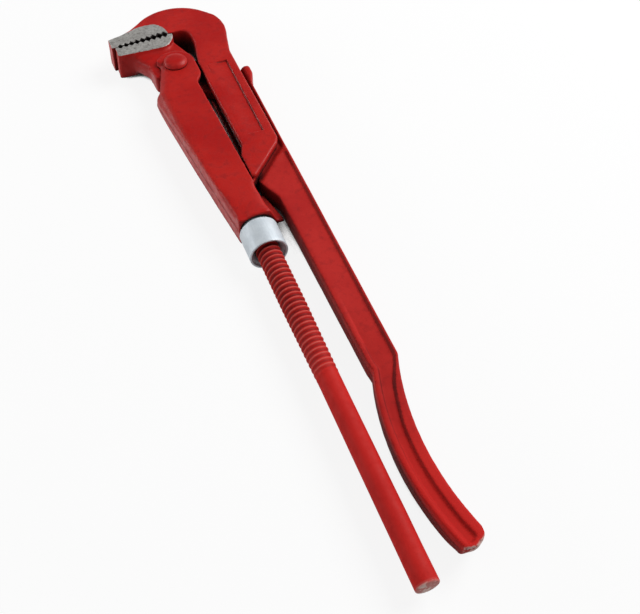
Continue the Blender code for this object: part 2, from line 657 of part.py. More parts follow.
def make_sleeve(parts, cutters, finish):
    """Forged channel, open towards the lever, with a lug at the rivet and a bored boss for the nut."""
    lug = arc((RIVET_X, RIVET_Y), LUG_R, math.radians(178), math.radians(0), 20)
    body = outline(
        [
            (SLEEVE_LEFT_LOW_X, SLEEVE_LOW_Y),
            (SLEEVE_LEFT_TOP_X, SLEEVE_LEFT_TOP_Y, WIDE_ROUND),
            *lug,
            (RIVET_X + LUG_R, RIVET_Y - LUG_SKIRT, SMALL_ROUND),
            (RIVET_X + LUG_R - SIDE_GAP, RIVET_Y - LUG_SKIRT - LUG_LIP, CRISP_ROUND),
            (SLEEVE_MOUTH_X, SLEEVE_LEFT_TOP_Y + LUG_LIP, SMALL_ROUND),
            (SLEEVE_MOUTH_X, SLEEVE_LEFT_TOP_Y),
            (SLEEVE_MOUTH_LOW_X, BOSS_TOP_Y),
            (SLEEVE_BOSS_FLAT_X, SLEEVE_LOW_Y),
        ]
    )
    half = SLEEVE_THICK / 2
    sleeve = plate("housing_sleeve", body, -half, half, parts)
    lug_left = RIVET_X - LUG_R * 0.9

    def on_back(p):
        return p.x < min(sleeve_back(min(p.y, SLEEVE_LEFT_TOP_Y)) + BACK_ROUND_REACH, lug_left)

    soften(sleeve, SLEEVE_BACK_ROUND, on_back, segments=5)

    rear = [
        (BOSS_LEFT_X, BOSS_LEFT_HALF, BOSS_BROW_ROUND),
        (BOSS_BROW_X, BOSS_REAR_HALF, BOSS_BROW_ROUND),
        (SLEEVE_BOSS_FLAT_X, BOSS_REAR_HALF, BOSS_RIDGE_ROUND),
        (BOSS_FLANK_X, BOSS_FOOT_HALF, BOSS_FOOT_ROUND),
        (SLEEVE_BOSS_RIGHT_X, BOSS_FOOT_HALF, BOSS_FOOT_ROUND),
    ]
    bulge = BOSS_HALF / BOSS_REAR_HALF
    section = outline(rear + [(x, -z * bulge, radius) for x, z, radius in rear[::-1]])
    boss = plate("nut_boss", section, 0.0, SLEEVE_BOSS_LENGTH, cutters)
    boss.rotation_euler.x = math.radians(-90)
    boss.location.y = SLEEVE_LOW_Y
    shrink = (SLEEVE_BOSS_TOP_RIGHT_X - BOSS_LEFT_X) / (SLEEVE_BOSS_RIGHT_X - BOSS_LEFT_X)
    for vertex in boss.data.vertices:
        if vertex.co.z > SLEEVE_BOSS_LENGTH / 2:
            vertex.co.x = BOSS_LEFT_X + (vertex.co.x - BOSS_LEFT_X) * shrink
            vertex.co.y *= BOSS_TOP_HALF / BOSS_HALF
    boss.modifiers.new("flat faces only", "TRIANGULATE")
    combine(sleeve, boss, "UNION")

    back = SLEEVE_BACK_WALL
    right = SHANK_RIGHT_X
    channel = outline(
        [
            (-STUB_HALF - RUNNING_GAP, BOSS_TOP_Y),
            (right, BOSS_TOP_Y),
            (right, RIVET_Y + 2 * LUG_R),
            (SLEEVE_LEFT_TOP_X * 2, RIVET_Y + 2 * LUG_R),
            (SLEEVE_LEFT_TOP_X * 2, SLEEVE_LEFT_TOP_Y + LUG_LIP),
            (SLEEVE_LEFT_TOP_X + back, SLEEVE_LEFT_TOP_Y + LUG_LIP),
            (sleeve_back(0.5 * SLEEVE_LEFT_TOP_Y) + back, 0.5 * SLEEVE_LEFT_TOP_Y, LONG_ROUND),
        ]
    )
    combine(sleeve, plate("channel", channel, -CHANNEL / 2, CHANNEL / 2, cutters), "DIFFERENCE")

    bore_r, counter_r = THREAD_D / 2 + RUNNING_GAP, COUNTERBORE_D / 2
    groove_r = counter_r + RING_WIRE_D / 2
    bore_top_y = STUB_LOW_Y + TRAVEL + SIDE_GAP
    profile = [
        (0.0, bore_top_y),
        (bore_r, bore_top_y),
        (bore_r, COUNTERBORE_TOP_Y),
        (counter_r, COUNTERBORE_TOP_Y),
        (counter_r, RING_Y + RING_GROOVE / 2),
        (groove_r, RING_Y + RING_GROOVE / 2),
        (groove_r, RING_Y - RING_GROOVE / 2),
        (counter_r, RING_Y - RING_GROOVE / 2),
        (counter_r, SLEEVE_LOW_Y - 0.0020),
        (0.0, SLEEVE_LOW_Y - 0.0020),
    ]
    bore = turned("nut_bore", profile, (0, 0, 0), (math.radians(-90), 0, 0), cutters)
    combine(sleeve, bore, "DIFFERENCE")

    combine(sleeve, rivet_hole("rivet_hole_in_lug", cutters), "DIFFERENCE")
    sleeve.data.materials.append(finish)
    return sleeve


def make_rivet(parts, finish):
    """Domed front head, shank, and a lower head closed on the rear face."""
    seat = SLEEVE_THICK / 2 + TOUCH_GAP
    shank, head, flat = RIVET_D / 2, RIVET_HEAD_D / 2, RIVET_HEAD_FLAT_D / 2
    rear = REAR_HEAD_D / 2
    steps = 6
    profile = [(0.0, seat + RIVET_HEAD_HEIGHT)]
    for i in range(steps + 1):
        turn = math.radians(90 - 90 * i / steps)
        profile.append((flat + (head - flat) * math.cos(turn), seat + RIVET_HEAD_HEIGHT * math.sin(turn)))
    profile += [(shank, seat), (shank, -seat)]
    for i in range(steps + 1):
        turn = math.radians(90 * i / steps)
        profile.append((rear * 0.5 + rear * 0.5 * math.cos(turn), -seat - REAR_HEAD_HEIGHT * math.sin(turn)))
    profile.append((0.0, -seat - REAR_HEAD_HEIGHT))
    rivet = turned("pivot_rivet", profile, (RIVET_X, RIVET_Y, 0), (0, 0, 0), parts)
    rivet.data.materials.append(finish)
    return rivet


def make_nut(parts, finish):
    """Round nut with a necked top that reaches into the boss, and a countersunk mouth below."""
    outer, bore, mouth, neck = NUT_D / 2, NUT_BORE_D / 2, NUT_MOUTH_D / 2, NUT_NECK_D / 2
    floor = neck - RING_WIRE_D / 2
    profile = [
        (bore, NECK_TOP_Y),
        (neck - NUT_EDGE, NECK_TOP_Y),
        (neck, NECK_TOP_Y - NUT_EDGE),
        (neck, RING_Y + RING_GROOVE / 2),
        (floor, RING_Y + RING_GROOVE / 2),
        (floor, RING_Y - RING_GROOVE / 2),
        (neck, RING_Y - RING_GROOVE / 2),
        (neck, NUT_TOP_Y),
        (outer - NUT_EDGE, NUT_TOP_Y),
        (outer, NUT_TOP_Y - NUT_EDGE),
        (outer, NUT_LOW_Y + NUT_EDGE),
        (outer - NUT_EDGE, NUT_LOW_Y),
        (mouth, NUT_LOW_Y),
        (mouth - NUT_EDGE, NUT_LOW_Y + NUT_MOUTH_WALL),
        (bore, NUT_LOW_Y + NUT_MOUTH_DEPTH),
    ]
    nut = turned("adjusting_nut", profile, (0, 0, 0), (math.radians(-90), 0, 0), parts)
    nut.data.materials.append(finish)
    return nut


def make_ring(parts, finish):
    """Open wire ring, half in the neck's groove and half in the boss's."""
    radius = (NUT_NECK_D + COUNTERBORE_D) / 4
    curve = bpy.data.curves.new("nut_retaining_ring_path", "CURVE")
    curve.dimensions = "3D"
    curve.bevel_depth = RING_WIRE_D / 2 - TOUCH_GAP / 2
    curve.bevel_resolution = 2
    curve.use_fill_caps = True
    points = arc((0.0, 0.0), radius, RING_OPENING / 2, 2 * math.pi - RING_OPENING / 2, 30)
    spline = curve.splines.new("POLY")
    spline.points.add(len(points) - 1)
    for place, (x, z) in zip(spline.points, points):
        place.co = (x, RING_Y, z, 1.0)
    ring = mesh_object("nut_retaining_ring", curve, parts)
    ring.data.materials.append(finish)
    return ring


def axis_empty(name, place, parent, collection):
    empty = bpy.data.objects.new(name, None)
    collection.objects.link(empty)
    empty.location = place
    empty.empty_display_size = AXIS_MARK
    empty.parent = parent
    return empty


def carry(thing, empty, place):
    """Parents a piece drawn in the rod's frame to the empty on its joint's axis."""
    thing.parent = empty
    thing.location = Vector(thing.location) - Vector(place)


def main():
    for thing in list(bpy.data.objects):
        bpy.data.objects.remove(thing)
    parts = bpy.data.collections.new("angled_pipe_wrench")
    cutters = bpy.data.collections.new("cutters")
    for collection in (parts, cutters):
        bpy.context.scene.collection.children.link(collection)

    red = (0.42, 0.017, 0.020)
    painted = ("hook", "rod", "lever", "sleeve", "rivet")
    enamel = {name: material(name + "_red_enamel", red, 0.38, 0.0) for name in painted}
    zinc = material("nut_zinc_plate", (0.62, 0.66, 0.68), 0.35, 1.0)
    spring_wire = material("ring_spring_wire", (0.35, 0.35, 0.36), 0.40, 1.0)

    rear = -SLEEVE_THICK / 2 - TOUCH_GAP - REAR_HEAD_HEIGHT
    across = HOOK_TIP_X - HOOK_TIP_SLANT + FLANGE_RIGHT_X + HEEL_BULGE
    middle = Vector((across, CROWN_Y + CROWN_R + ROD_END_Y, 2 * rear)) / 2
    frame = axis_empty("wrench_frame", -middle, None, parts)
    rivet_place, rod_place = (RIVET_X, RIVET_Y, 0.0), (0.0, 0.0, 0.0)
    rivet_axis = axis_empty("rivet_axis", rivet_place, frame, parts)
    rod_axis = axis_empty("rod_axis", rod_place, frame, parts)

    carry(make_lever(parts, cutters, enamel["lever"]), rivet_axis, rivet_place)
    carry(make_sleeve(parts, cutters, enamel["sleeve"]), rivet_axis, rivet_place)
    carry(make_rivet(parts, enamel["rivet"]), rivet_axis, rivet_place)
    carry(make_hook_leg(parts, cutters, enamel["hook"]), rod_axis, rod_place)
    carry(make_rod(parts, enamel["rod"]), rod_axis, rod_place)
    carry(make_nut(parts, zinc), rod_axis, rod_place)
    carry(make_ring(parts, spring_wire), rod_axis, rod_place)
    for cutter in list(cutters.objects):
        cutter.parent = frame


main()
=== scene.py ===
"""Looks of the angled pipe wrench: forged red enamelled body, bare jaw faces, rolled thread, zinc nut.

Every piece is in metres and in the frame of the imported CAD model. The forgings are made from the
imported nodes: remeshed, smoothed away from the ground jaws, and given forging marks. The thread,
the nut and the rivet are turned again in finer detail around the axes of their nodes.
"""

import math

import bmesh
import bpy
import numpy as np
from mathutils import Matrix, Vector


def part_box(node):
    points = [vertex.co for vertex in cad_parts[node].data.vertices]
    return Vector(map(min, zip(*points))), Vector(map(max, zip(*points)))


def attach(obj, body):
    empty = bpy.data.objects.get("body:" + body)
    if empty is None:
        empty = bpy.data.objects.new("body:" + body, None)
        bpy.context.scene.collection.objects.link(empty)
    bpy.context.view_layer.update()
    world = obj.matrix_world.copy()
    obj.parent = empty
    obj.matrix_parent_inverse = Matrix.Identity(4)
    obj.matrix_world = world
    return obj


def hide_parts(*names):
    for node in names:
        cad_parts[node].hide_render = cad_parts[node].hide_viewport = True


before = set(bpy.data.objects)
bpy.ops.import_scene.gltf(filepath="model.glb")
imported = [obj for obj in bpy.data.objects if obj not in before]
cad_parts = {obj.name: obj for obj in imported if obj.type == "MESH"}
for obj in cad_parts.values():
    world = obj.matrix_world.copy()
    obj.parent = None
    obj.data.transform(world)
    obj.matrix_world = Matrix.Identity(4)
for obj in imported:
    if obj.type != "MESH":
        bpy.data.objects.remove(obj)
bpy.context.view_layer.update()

MM = 0.001

# The rod's frame: X = 0 and Z = 0 on the rod's axis, Y up the rod, as in the part's own drawing
ROD_END_Y = -211.0 * MM
rod_low, rod_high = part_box("threaded_rod")
AXIS = Vector(((rod_low.x + rod_high.x) / 2, rod_low.y - ROD_END_Y, (rod_low.z + rod_high.z) / 2))
ROD_TOP_Y = rod_high.y - AXIS.y
THREAD_R = (rod_high.x - rod_low.x) / 2

# Thread and plain part of the rod
THREAD_PITCH = 3.5 * MM
THREAD_FULL_Y = -45.0 * MM
THREAD_LOW_Y = -90.0 * MM
THREAD_LAST_R = 6.4 * MM
THREAD_FADE = 4.0 * MM
PLAIN_R = 6.1 * MM
ROD_END_ROUND = 1.0 * MM

# Forged skin: wavelength and height of its wide swell, fine swell and dents, and how deep faces are ground
SWELL_LENGTH, SWELL_HEIGHT = 26 * MM, 0.05 * MM
RIPPLE_LENGTH, RIPPLE_HEIGHT = 7 * MM, 0.022 * MM
DENT_LENGTH, DENT_DEPTH = 11 * MM, 0.10 * MM
GRIND_DEPTH = 0.12 * MM
SMOOTH_ROUNDS, BLEND_ROUNDS = 8, 90

# Parting line: its ridge at mid-thickness and the painted shadow in front of it
RIDGE_HEIGHT = 0.30 * MM
RIDGE_HALF = 0.55 * MM
SEAM_SHADOW_Z = 0.9 * MM
SEAM_SHADOW_HALF = 0.5 * MM

# Jaws: a point on the tooth line and its tilt, the teeth, and the diamonds painted between them
HEAD_HALF = 9.5 * MM
HEAD_FRONT = HEAD_HALF - 2 * MM
BITE_X, BITE_Y, BITE_TILT = -18.0 * MM, 196.5 * MM, math.radians(3.0)
TOOTH_COUNT, TOOTH_PITCH = 9, 3.87 * MM
MARK_HALF, MARK_HEIGHT, MARK_UNEVEN = 1.55 * MM, 2.1 * MM, 1.2
JAW_END_X = -36.3 * MM

# Marking pad on the hook's shank, which stays bare
PAD_LEFT, PAD_RIGHT, PAD_LOW, PAD_TOP = 15.0 * MM, 28.3 * MM, 84.0 * MM, 156.5 * MM
PAD_DEPTH = 1.1 * MM

# Lever below its head
WEB_HALF = 3.5 * MM
GRIP_HALF = 6.7 * MM
GRIP_LOW = -206.0 * MM
GROOVE_DEPTH = 1.8 * MM
FLANGE_LEFT = 35.66 * MM
FLANGE_GAIN = 0.8 * MM
END_SETBACK = 2.4 * MM
# The grip's slanting upper edge, as a point on it and its rise, and how far its face slopes down to it
SLOPE_X, SLOPE_Y, SLOPE_RISE = 12.5 * MM, 48.7 * MM, 1.043
SLOPE_LENGTH = 5.0 * MM

# The lower edge of the grip's end from left to right, and the rounding of its right corner
END_X = [21.5 * MM, 25.0 * MM, 27.9 * MM, 30.1 * MM, 34.8 * MM]
END_Y = [-203.0 * MM, -203.7 * MM, -203.6 * MM, -202.5 * MM, -199.3 * MM]
END_ROUND = 3.6 * MM

# The ground face of the hook jaw, as a border in millimetres in the rod's frame
GROUND_BORDER = [
    (-45.0, 204.6), (-39.6, 205.4), (-26.8, 208.0), (-17.9, 210.7), (-12.9, 211.3), (-10.0, 211.0),
    (-6.4, 210.0), (-3.6, 208.2), (-1.4, 205.0), (-0.7, 201.4), (-0.7, 196.5), (0.0, 190.0), (-45.0, 190.0),
]


def rod_frame(points):
    """Points from the world's frame to the rod's."""
    return points - np.array(AXIS)


def new_object(name, mesh):
    thing = bpy.data.objects.new(name, mesh)
    bpy.context.scene.collection.objects.link(thing)
    return thing


def mesh_from(name, points, faces):
    mesh = bpy.data.meshes.new(name)
    mesh.from_pydata(points, [], faces)
    mesh.update()
    mesh.polygons.foreach_set("use_smooth", np.ones(len(mesh.polygons), bool))
    return mesh


def read_points(mesh):
    points = np.empty(len(mesh.vertices) * 3)
    mesh.vertices.foreach_get("co", points)
    return points.reshape(-1, 3)


def write_points(mesh, points):
    mesh.vertices.foreach_set("co", points.ravel())
    mesh.update()


def read_normals(mesh):
    normals = np.empty(len(mesh.vertices) * 3)
    mesh.vertex_normals.foreach_get("vector", normals)
    return normals.reshape(-1, 3)


def set_value(mesh, name, values):
    layer = mesh.attributes.new(name, "FLOAT", "POINT")
    layer.data.foreach_set("value", np.asarray(values, np.float32))


class Waves:
    """A smooth uneven field: seeded sine waves in many directions around one wavelength."""

    def __init__(self, seed, length, count=14):
        draw = np.random.default_rng(seed)
        ways = draw.normal(size=(count, 3))
        ways /= np.linalg.norm(ways, axis=1, keepdims=True)
        self.ways = ways * (2 * math.pi / (length * draw.uniform(0.6, 1.6, count)))[:, None]
        self.phases = draw.uniform(0, 2 * math.pi, count)

    def __call__(self, points):
        return np.sin(points @ self.ways.T + self.phases).mean(axis=1) * 2.2


def neighbours(mesh):
    edges = np.empty(len(mesh.edges) * 2, np.int64)
    mesh.edges.foreach_get("vertices", edges)
    edges = edges.reshape(-1, 2)
    count = np.bincount(edges.ravel(), minlength=len(mesh.vertices)).astype(float)
    return edges[:, 0], edges[:, 1], np.maximum(count, 1)


def average(values, links):
    """The mean of each point's neighbours."""
    one, two, count = links
    size = len(count)
    if values.ndim == 1:
        return (np.bincount(one, values[two], size) + np.bincount(two, values[one], size)) / count
    return np.stack([average(values[:, i], links) for i in range(values.shape[1])], axis=1)


def inside_distance(x, y, border):
    """Distance to a closed border in the plane: positive inside and negative outside."""
    closest = np.full(len(x), np.inf)
    inside = np.zeros(len(x), bool)
    for (x1, y1), (x2, y2) in zip(border, border[1:] + border[:1]):
        dx, dy = x2 - x1, y2 - y1
        along = np.clip(((x - x1) * dx + (y - y1) * dy) / (dx * dx + dy * dy), 0, 1)
        closest = np.minimum(closest, np.hypot(x - x1 - along * dx, y - y1 - along * dy))
        crosses = (y1 > y) != (y2 > y)
        inside ^= crosses & (x < dx * (y - y1) / np.where(dy == 0, 1, dy) + x1)
    return np.where(inside, closest, -closest)


def above_bite(p):
    """Height above the tilted tooth line, for points in the rod's frame."""
    return (p[:, 1] - BITE_Y) * math.cos(BITE_TILT) - (p[:, 0] - BITE_X) * math.sin(BITE_TILT)


def smooth_step(value, low, high):
    """0 at low and 1 at high, soft at both ends; high may be the smaller of the two."""
    share = np.clip((value - low) / (high - low), 0, 1)
    return share * share * (3 - 2 * share)


# Values for the enamel: painted shade in corners and on walls, painted shade on side faces, dull skin,
# painted light, gaps that take less painted shade, and chips that also stand in for a highlight
MARKS = ("line", "shade", "matt", "painted_light", "open_gap", "chip_and_highlight")


def forging(node, body, voxel, ground, ridge, seed, reshape=None, blend=None, keep=None, marks=None):
    """A forged piece in place of its node, with values for bare steel, convex edges (pale wear and painted
    highlight) and hollows (painted shade).

    ground(p, n) gives millimetres inside the ground faces; ridge(p, n) gives where the parting line is.
    reshape(p) returns moved points, blend(p) gives where extra smoothing makes a wide fillet, and
    keep(p) gives where edges stay crisp. marks holds functions for the values named in MARKS.
    """
    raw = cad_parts[node].data.copy()
    rough = new_object(node + "_rough", raw)
    remesh = rough.modifiers.new("fine skin", "REMESH")
    remesh.mode = "VOXEL"
    remesh.voxel_size = voxel
    remesh.use_smooth_shade = True
    bpy.context.view_layer.update()
    mesh = bpy.data.meshes.new_from_object(rough.evaluated_get(bpy.context.evaluated_depsgraph_get()))
    bpy.data.objects.remove(rough)
    bpy.data.meshes.remove(raw)
    mesh.name = node + "_forged"
    mesh.materials.clear()
    links = neighbours(mesh)
    points = read_points(mesh)
    p = rod_frame(points)
    if reshape:
        p = reshape(p)
        points = p + np.array(AXIS)
    # the teeth stay crisp
    crisp = (np.abs(above_bite(p)) < 3.2 * MM) & (p[:, 0] < 3.5 * MM)
    ease = np.where(crisp, 0.05, 0.5)
    if keep:
        ease = np.minimum(ease, 0.5 - 0.45 * keep(p))
    ease = ease[:, None]
    for _ in range(SMOOTH_ROUNDS):
        points += (average(points, links) - points) * ease
    if blend:
        wide = blend(p)[:, None] * 0.5
        for _ in range(BLEND_ROUNDS):
            points += (average(points, links) - points) * wide
    write_points(mesh, points)
    normals = read_normals(mesh)

    # positive on edges and negative in hollows
    bend = ((points - average(points, links)) * normals).sum(axis=1) / (voxel * voxel)
    for _ in range(3):
        bend = 0.5 * bend + 0.5 * average(bend, links)
    p = rod_frame(points)
    bare = ground(p, normals)
    swell = Waves(seed, SWELL_LENGTH)(p) * SWELL_HEIGHT + Waves(seed + 1, RIPPLE_LENGTH)(p) * RIPPLE_HEIGHT
    dents = np.clip(Waves(seed + 2, DENT_LENGTH)(p) - 0.9, 0, 1) * DENT_DEPTH
    forged = np.clip(-bare / 0.6, 0, 1)
    centre_line = np.exp(-((p[:, 2] / RIDGE_HALF) ** 4)) * ridge(p, normals)
    centre_line *= 0.65 + 0.35 * Waves(seed + 3, 9 * MM)(p)
    push = (swell - dents) * forged + np.clip(centre_line, 0, 1.2) * RIDGE_HEIGHT
    push -= np.clip(bare / 0.5, 0, 1) * GRIND_DEPTH
    push[crisp] = 0
    points += normals * push[:, None]
    write_points(mesh, points)
    # painted shadow of the parting line's step, just in front of its ridge
    seam_shadow = np.exp(-(((p[:, 2] - SEAM_SHADOW_Z) / SEAM_SHADOW_HALF) ** 2)) * np.clip(ridge(p, normals), 0, 1)
    # the tooth flanks, which the material darkens as painted shade
    tooth_side = crisp & (np.abs(normals[:, 2]) < 0.6) & (p[:, 0] > JAW_END_X) & (p[:, 0] < 0.5 * MM)
    tooth_side &= np.abs(above_bite(p)) < 2.5 * MM
    set_value(mesh, "tooth_shade", tooth_side)
    set_value(mesh, "seam_shadow", seam_shadow)
    marks = marks or {}
    for name in MARKS:
        set_value(mesh, name, marks[name](p, normals) if name in marks else np.zeros(len(p)))
    set_value(mesh, "bare", bare)
    # the grip's edges get less pale wear and painted highlight
    handled = smooth_step(p[:, 1], 60 * MM, -10 * MM)
    bend = np.where(bend > 0, bend * (1 - 0.85 * handled), bend)
    set_value(mesh, "convex", np.clip(bend / 900.0, -1, 1))

    piece = new_object(node + "_forged", mesh)
    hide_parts(node)
    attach(piece, body)
    return piece


def facing_out(p, n):
    """Where a side face looks outwards, away from the ground jaws."""
    return np.clip((0.5 - np.abs(n[:, 2])) * 4, 0, 1)


def hook_ground(p, n):
    """Millimetres inside the hook jaw's ground faces and teeth."""
    border = inside_distance(p[:, 0] / MM, p[:, 1] / MM, GROUND_BORDER)
    flat = (np.abs(n[:, 2]) - 0.55) * 4
    teeth = np.where((above_bite(p) < 2.7 * MM) & (p[:, 0] < 2 * MM) & (p[:, 0] > JAW_END_X), 1.0, -3.0)
    teeth = np.where(p[:, 1] > 190 * MM, teeth, -3.0)
    return np.maximum(np.minimum(border, flat), np.where(border > -0.5, teeth, -3.0))


def pad_edge(p):
    """Distance to the border of the marking pad, positive inside it."""
    border = [(PAD_LEFT, PAD_LOW), (PAD_RIGHT, PAD_LOW), (PAD_RIGHT, PAD_TOP), (PAD_LEFT, PAD_TOP)]
    return inside_distance(p[:, 0], p[:, 1], border)


def hook_reshape(p):
    """The marking pad's floor slopes, from nothing at its left side to full depth at its right."""
    share = smooth_step(p[:, 0], PAD_LEFT, PAD_RIGHT - 1 * MM)
    inside = (pad_edge(p) > 0.1 * MM) & (p[:, 2] > HEAD_FRONT)
    made = p.copy()
    made[:, 2] = np.where(inside, HEAD_HALF - PAD_DEPTH * share, p[:, 2])
    return made


def hook_line(p, n):
    """Painted shade on the walls at the pad's right side and top, and on the underside of the hook's tip.
    """
    near = np.exp(-(((pad_edge(p) - 0.35 * MM) / (0.4 * MM)) ** 2)) * (p[:, 2] > HEAD_FRONT)
    right = p[:, 0] > PAD_RIGHT - 1.2 * MM
    top = (p[:, 1] > PAD_TOP - 1.2 * MM) & (p[:, 0] > (PAD_LEFT + PAD_RIGHT) / 2)
    under_tip = smooth_step(p[:, 0], -39.3 * MM, -38.7 * MM) * smooth_step(p[:, 0], -35.8 * MM, -36.4 * MM)
    under_tip = under_tip * (n[:, 1] < -0.5) * (p[:, 1] < 197.5 * MM)
    return np.maximum(near * (right | top) * 0.85, under_tip)


def hook_keep(p):
    """The marking pad's border stays crisp."""
    return (np.abs(pad_edge(p)) < 1.3 * MM) & (p[:, 2] > HEAD_FRONT)


def hook_ridge(p, n):
    """The parting line around the crown, but not in the throat or on the tip's end."""
    outside = np.hypot(p[:, 0] - 5.5 * MM, p[:, 1] - 192.5 * MM) > 24 * MM
    return facing_out(p, n) * outside * (p[:, 1] > 176 * MM) * (p[:, 0] > -36 * MM)


def lever_ground(p, n):
    """Millimetres inside the lower jaw's ground faces and teeth."""
    plate = (np.abs(p[:, 2]) - (HEAD_HALF - 0.5 * MM)) / MM * 3
    flat = (np.abs(n[:, 2]) - 0.55) * 4
    face = np.where(p[:, 1] > 180 * MM, np.minimum(plate, flat), -3.0)
    teeth = np.where((above_bite(p) > -2.7 * MM) & (p[:, 1] > 190 * MM) & (n[:, 0] > -0.8), 1.0, -3.0)
    return np.maximum(face, teeth)


def grip_sets(p):
    """Distances from the grip's left and right outlines, measured across the rod."""
    grip = p[p[:, 1] < 72 * MM]
    row = ((grip[:, 1] - GRIP_LOW) / MM).astype(int)
    left, right = np.full(row.max() + 1, np.inf), np.full(row.max() + 1, -np.inf)
    np.minimum.at(left, row, grip[:, 0])
    np.maximum.at(right, row, grip[:, 0])
    middle = GRIP_LOW + (np.arange(len(left)) + 0.5) * MM
    known = np.isfinite(left)
    from_left = p[:, 0] - np.interp(p[:, 1], middle[known], left[known])
    from_right = np.interp(p[:, 1], middle[known], right[known]) - p[:, 0]
    return from_left, from_right


def on_grip(p):
    return smooth_step(p[:, 1], 66 * MM, 56 * MM)


def above_end(p):
    """Height above the lower edge of the grip's end."""
    return p[:, 1] - np.interp(p[:, 0], END_X, END_Y)


def groove(p):
    """The grip's front with its hollow: a ramp to a wall near the right side, a trough below the bend."""
    from_left, from_right = grip_sets(p)
    rim = np.interp(p[:, 1] / MM, [-135, -112, -104, -98], [5.2, 3.9, 2.5, 1.7]) * MM
    wall = np.interp(p[:, 1] / MM, [-110, -90], [1.2, 0.7]) * MM
    width = from_left + from_right
    ramp = np.clip((from_left - 3 * MM) / np.maximum(width - 3 * MM - rim, MM), 0, 1)
    trough = smooth_step(from_left, 2.8 * MM, 3.6 * MM)
    upper = smooth_step(p[:, 1], -85 * MM, -45 * MM)
    depth = (trough * (1 - upper) + ramp * upper) * smooth_step(from_right, rim, rim + wall)
    depth *= smooth_step(above_end(p), 1.5 * MM, 3.3 * MM)
    front = (p[:, 2] > 4.2 * MM) & (from_left > 1.4 * MM) & (from_right > 1.2 * MM)
    front = front * smooth_step(p[:, 1], 67 * MM, 63 * MM)
    made = p.copy()
    made[:, 2] = p[:, 2] * (1 - front) + (GRIP_HALF - GROOVE_DEPTH * depth) * front
    return made


def end_rounded(p):
    """Rounds the right corner of the grip's end."""
    corner = np.array([END_X[-1], END_Y[-1]])
    edge = corner - np.array([END_X[-2], END_Y[-2]])
    edge /= np.linalg.norm(edge)
    down = np.array([edge[1], -edge[0]])
    offset = p[:, :2] - (corner - END_ROUND * (edge + down))
    a, b = offset @ down / END_ROUND, offset @ edge / END_ROUND
    inside = (a > 0) & (b > 0) & (a < 1.4) & (b < 1.4)
    a, b = np.where(inside, a, 0), np.where(inside, b, 0)
    made = p.copy()
    shift_a = a * np.sqrt(1 - b * b / 2) - a
    shift_b = b * np.sqrt(1 - a * a / 2) - b
    made[:, :2] += END_ROUND * (shift_a[:, None] * down + shift_b[:, None] * edge)
    return made


def lever_keep(p):
    """The grip's edges are a little crisper than those of the head."""
    return 0.7 * on_grip(p)


def groove_line(p, n):
    """Painted shade on the walls of the grip's hollow, the right one darker."""
    from_left, from_right = grip_sets(p)
    front = (p[:, 2] > GRIP_HALF - GROOVE_DEPTH) & (p[:, 1] < 66 * MM)
    right = (from_right > 1.3 * MM) & (from_right < 8 * MM) & (n[:, 2] < 0.91) & (n[:, 0] < 0)
    left = np.exp(-(((from_left - 3.2 * MM) / (0.5 * MM)) ** 2)) * smooth_step(p[:, 1], -80 * MM, -90 * MM)
    fainter = 1 - 0.55 * smooth_step(p[:, 1], -110 * MM, -80 * MM)
    return front * np.maximum(right * fainter, 0.8 * left)


def grip_side(p, n):
    """The grip's left side face, darkened as painted shade."""
    faces_left = np.clip(-n[:, 0] * 4 - 2.4, 0, 1) * on_grip(p)
    rear_half = smooth_step(p[:, 2], 2 * MM, -0.5 * MM)
    return faces_left * np.where(p[:, 1] > -98 * MM, 1.0, 0.2 + 0.8 * rear_half)


def grip_matt(p, n):
    """The grip is dull from handling."""
    return on_grip(p)


def grip_painted_light(p, n):
    """Painted light: the grip's front is a brighter red towards its end."""
    return smooth_step(p[:, 1], -110 * MM, -170 * MM) * smooth_step(n[:, 2], 0.2, 0.8)


def grip_chips_and_highlight(p, n):
    """Where the enamel has come off around the end of the grip, spread wide enough to stand in for a
    highlight on its lower rim.
    """
    return smooth_step(above_end(p), 1.6 * MM, -0.4 * MM) * smooth_step(n[:, 1], -0.2, -0.7)


def lever_reshape(p):
    """The hollow and end of the grip, the flange's thickness and the slope of the faces under the tines."""
    p = end_rounded(groove(p))
    end = smooth_step(p[:, 1], -190 * MM, -203 * MM) * smooth_step(p[:, 2], 3 * MM, -GRIP_HALF)
    p[:, 1] += END_SETBACK * end
    near = smooth_step(p[:, 0], FLANGE_LEFT - 1 * MM, FLANGE_LEFT - 0.3 * MM)
    near *= smooth_step(p[:, 0], FLANGE_LEFT + 1.8 * MM, FLANGE_LEFT + 0.4 * MM)
    p[:, 0] -= FLANGE_GAIN * near * smooth_step(p[:, 1], 66 * MM, 72 * MM)
    below = (SLOPE_Y + SLOPE_RISE * (p[:, 0] - SLOPE_X) - p[:, 1]) / math.hypot(1, SLOPE_RISE)
    inside = (p[:, 0] > SLOPE_X - 1.0 * MM) & (p[:, 1] > 44 * MM) & (p[:, 0] < 35.4 * MM)
    limit = WEB_HALF + 0.3 * MM + (GRIP_HALF - WEB_HALF) * smooth_step(below, -0.6 * MM, SLOPE_LENGTH)
    made = p.copy()
    made[:, 2] = np.where(inside, np.clip(p[:, 2], -limit, limit), p[:, 2])
    return made


def lever_blend(p):
    """The fillet under the lower jaw, where the thick jaw runs into the thinner neck."""
    height = smooth_step(p[:, 1], 170 * MM, 174 * MM) * smooth_step(p[:, 1], 187.2 * MM, 185.2 * MM)
    depth = smooth_step(np.abs(p[:, 2]), 9.2 * MM, 8.2 * MM)
    side = smooth_step(p[:, 0], -33 * MM, -29 * MM) * smooth_step(p[:, 0], 2 * MM, -1 * MM)
    return height * depth * side


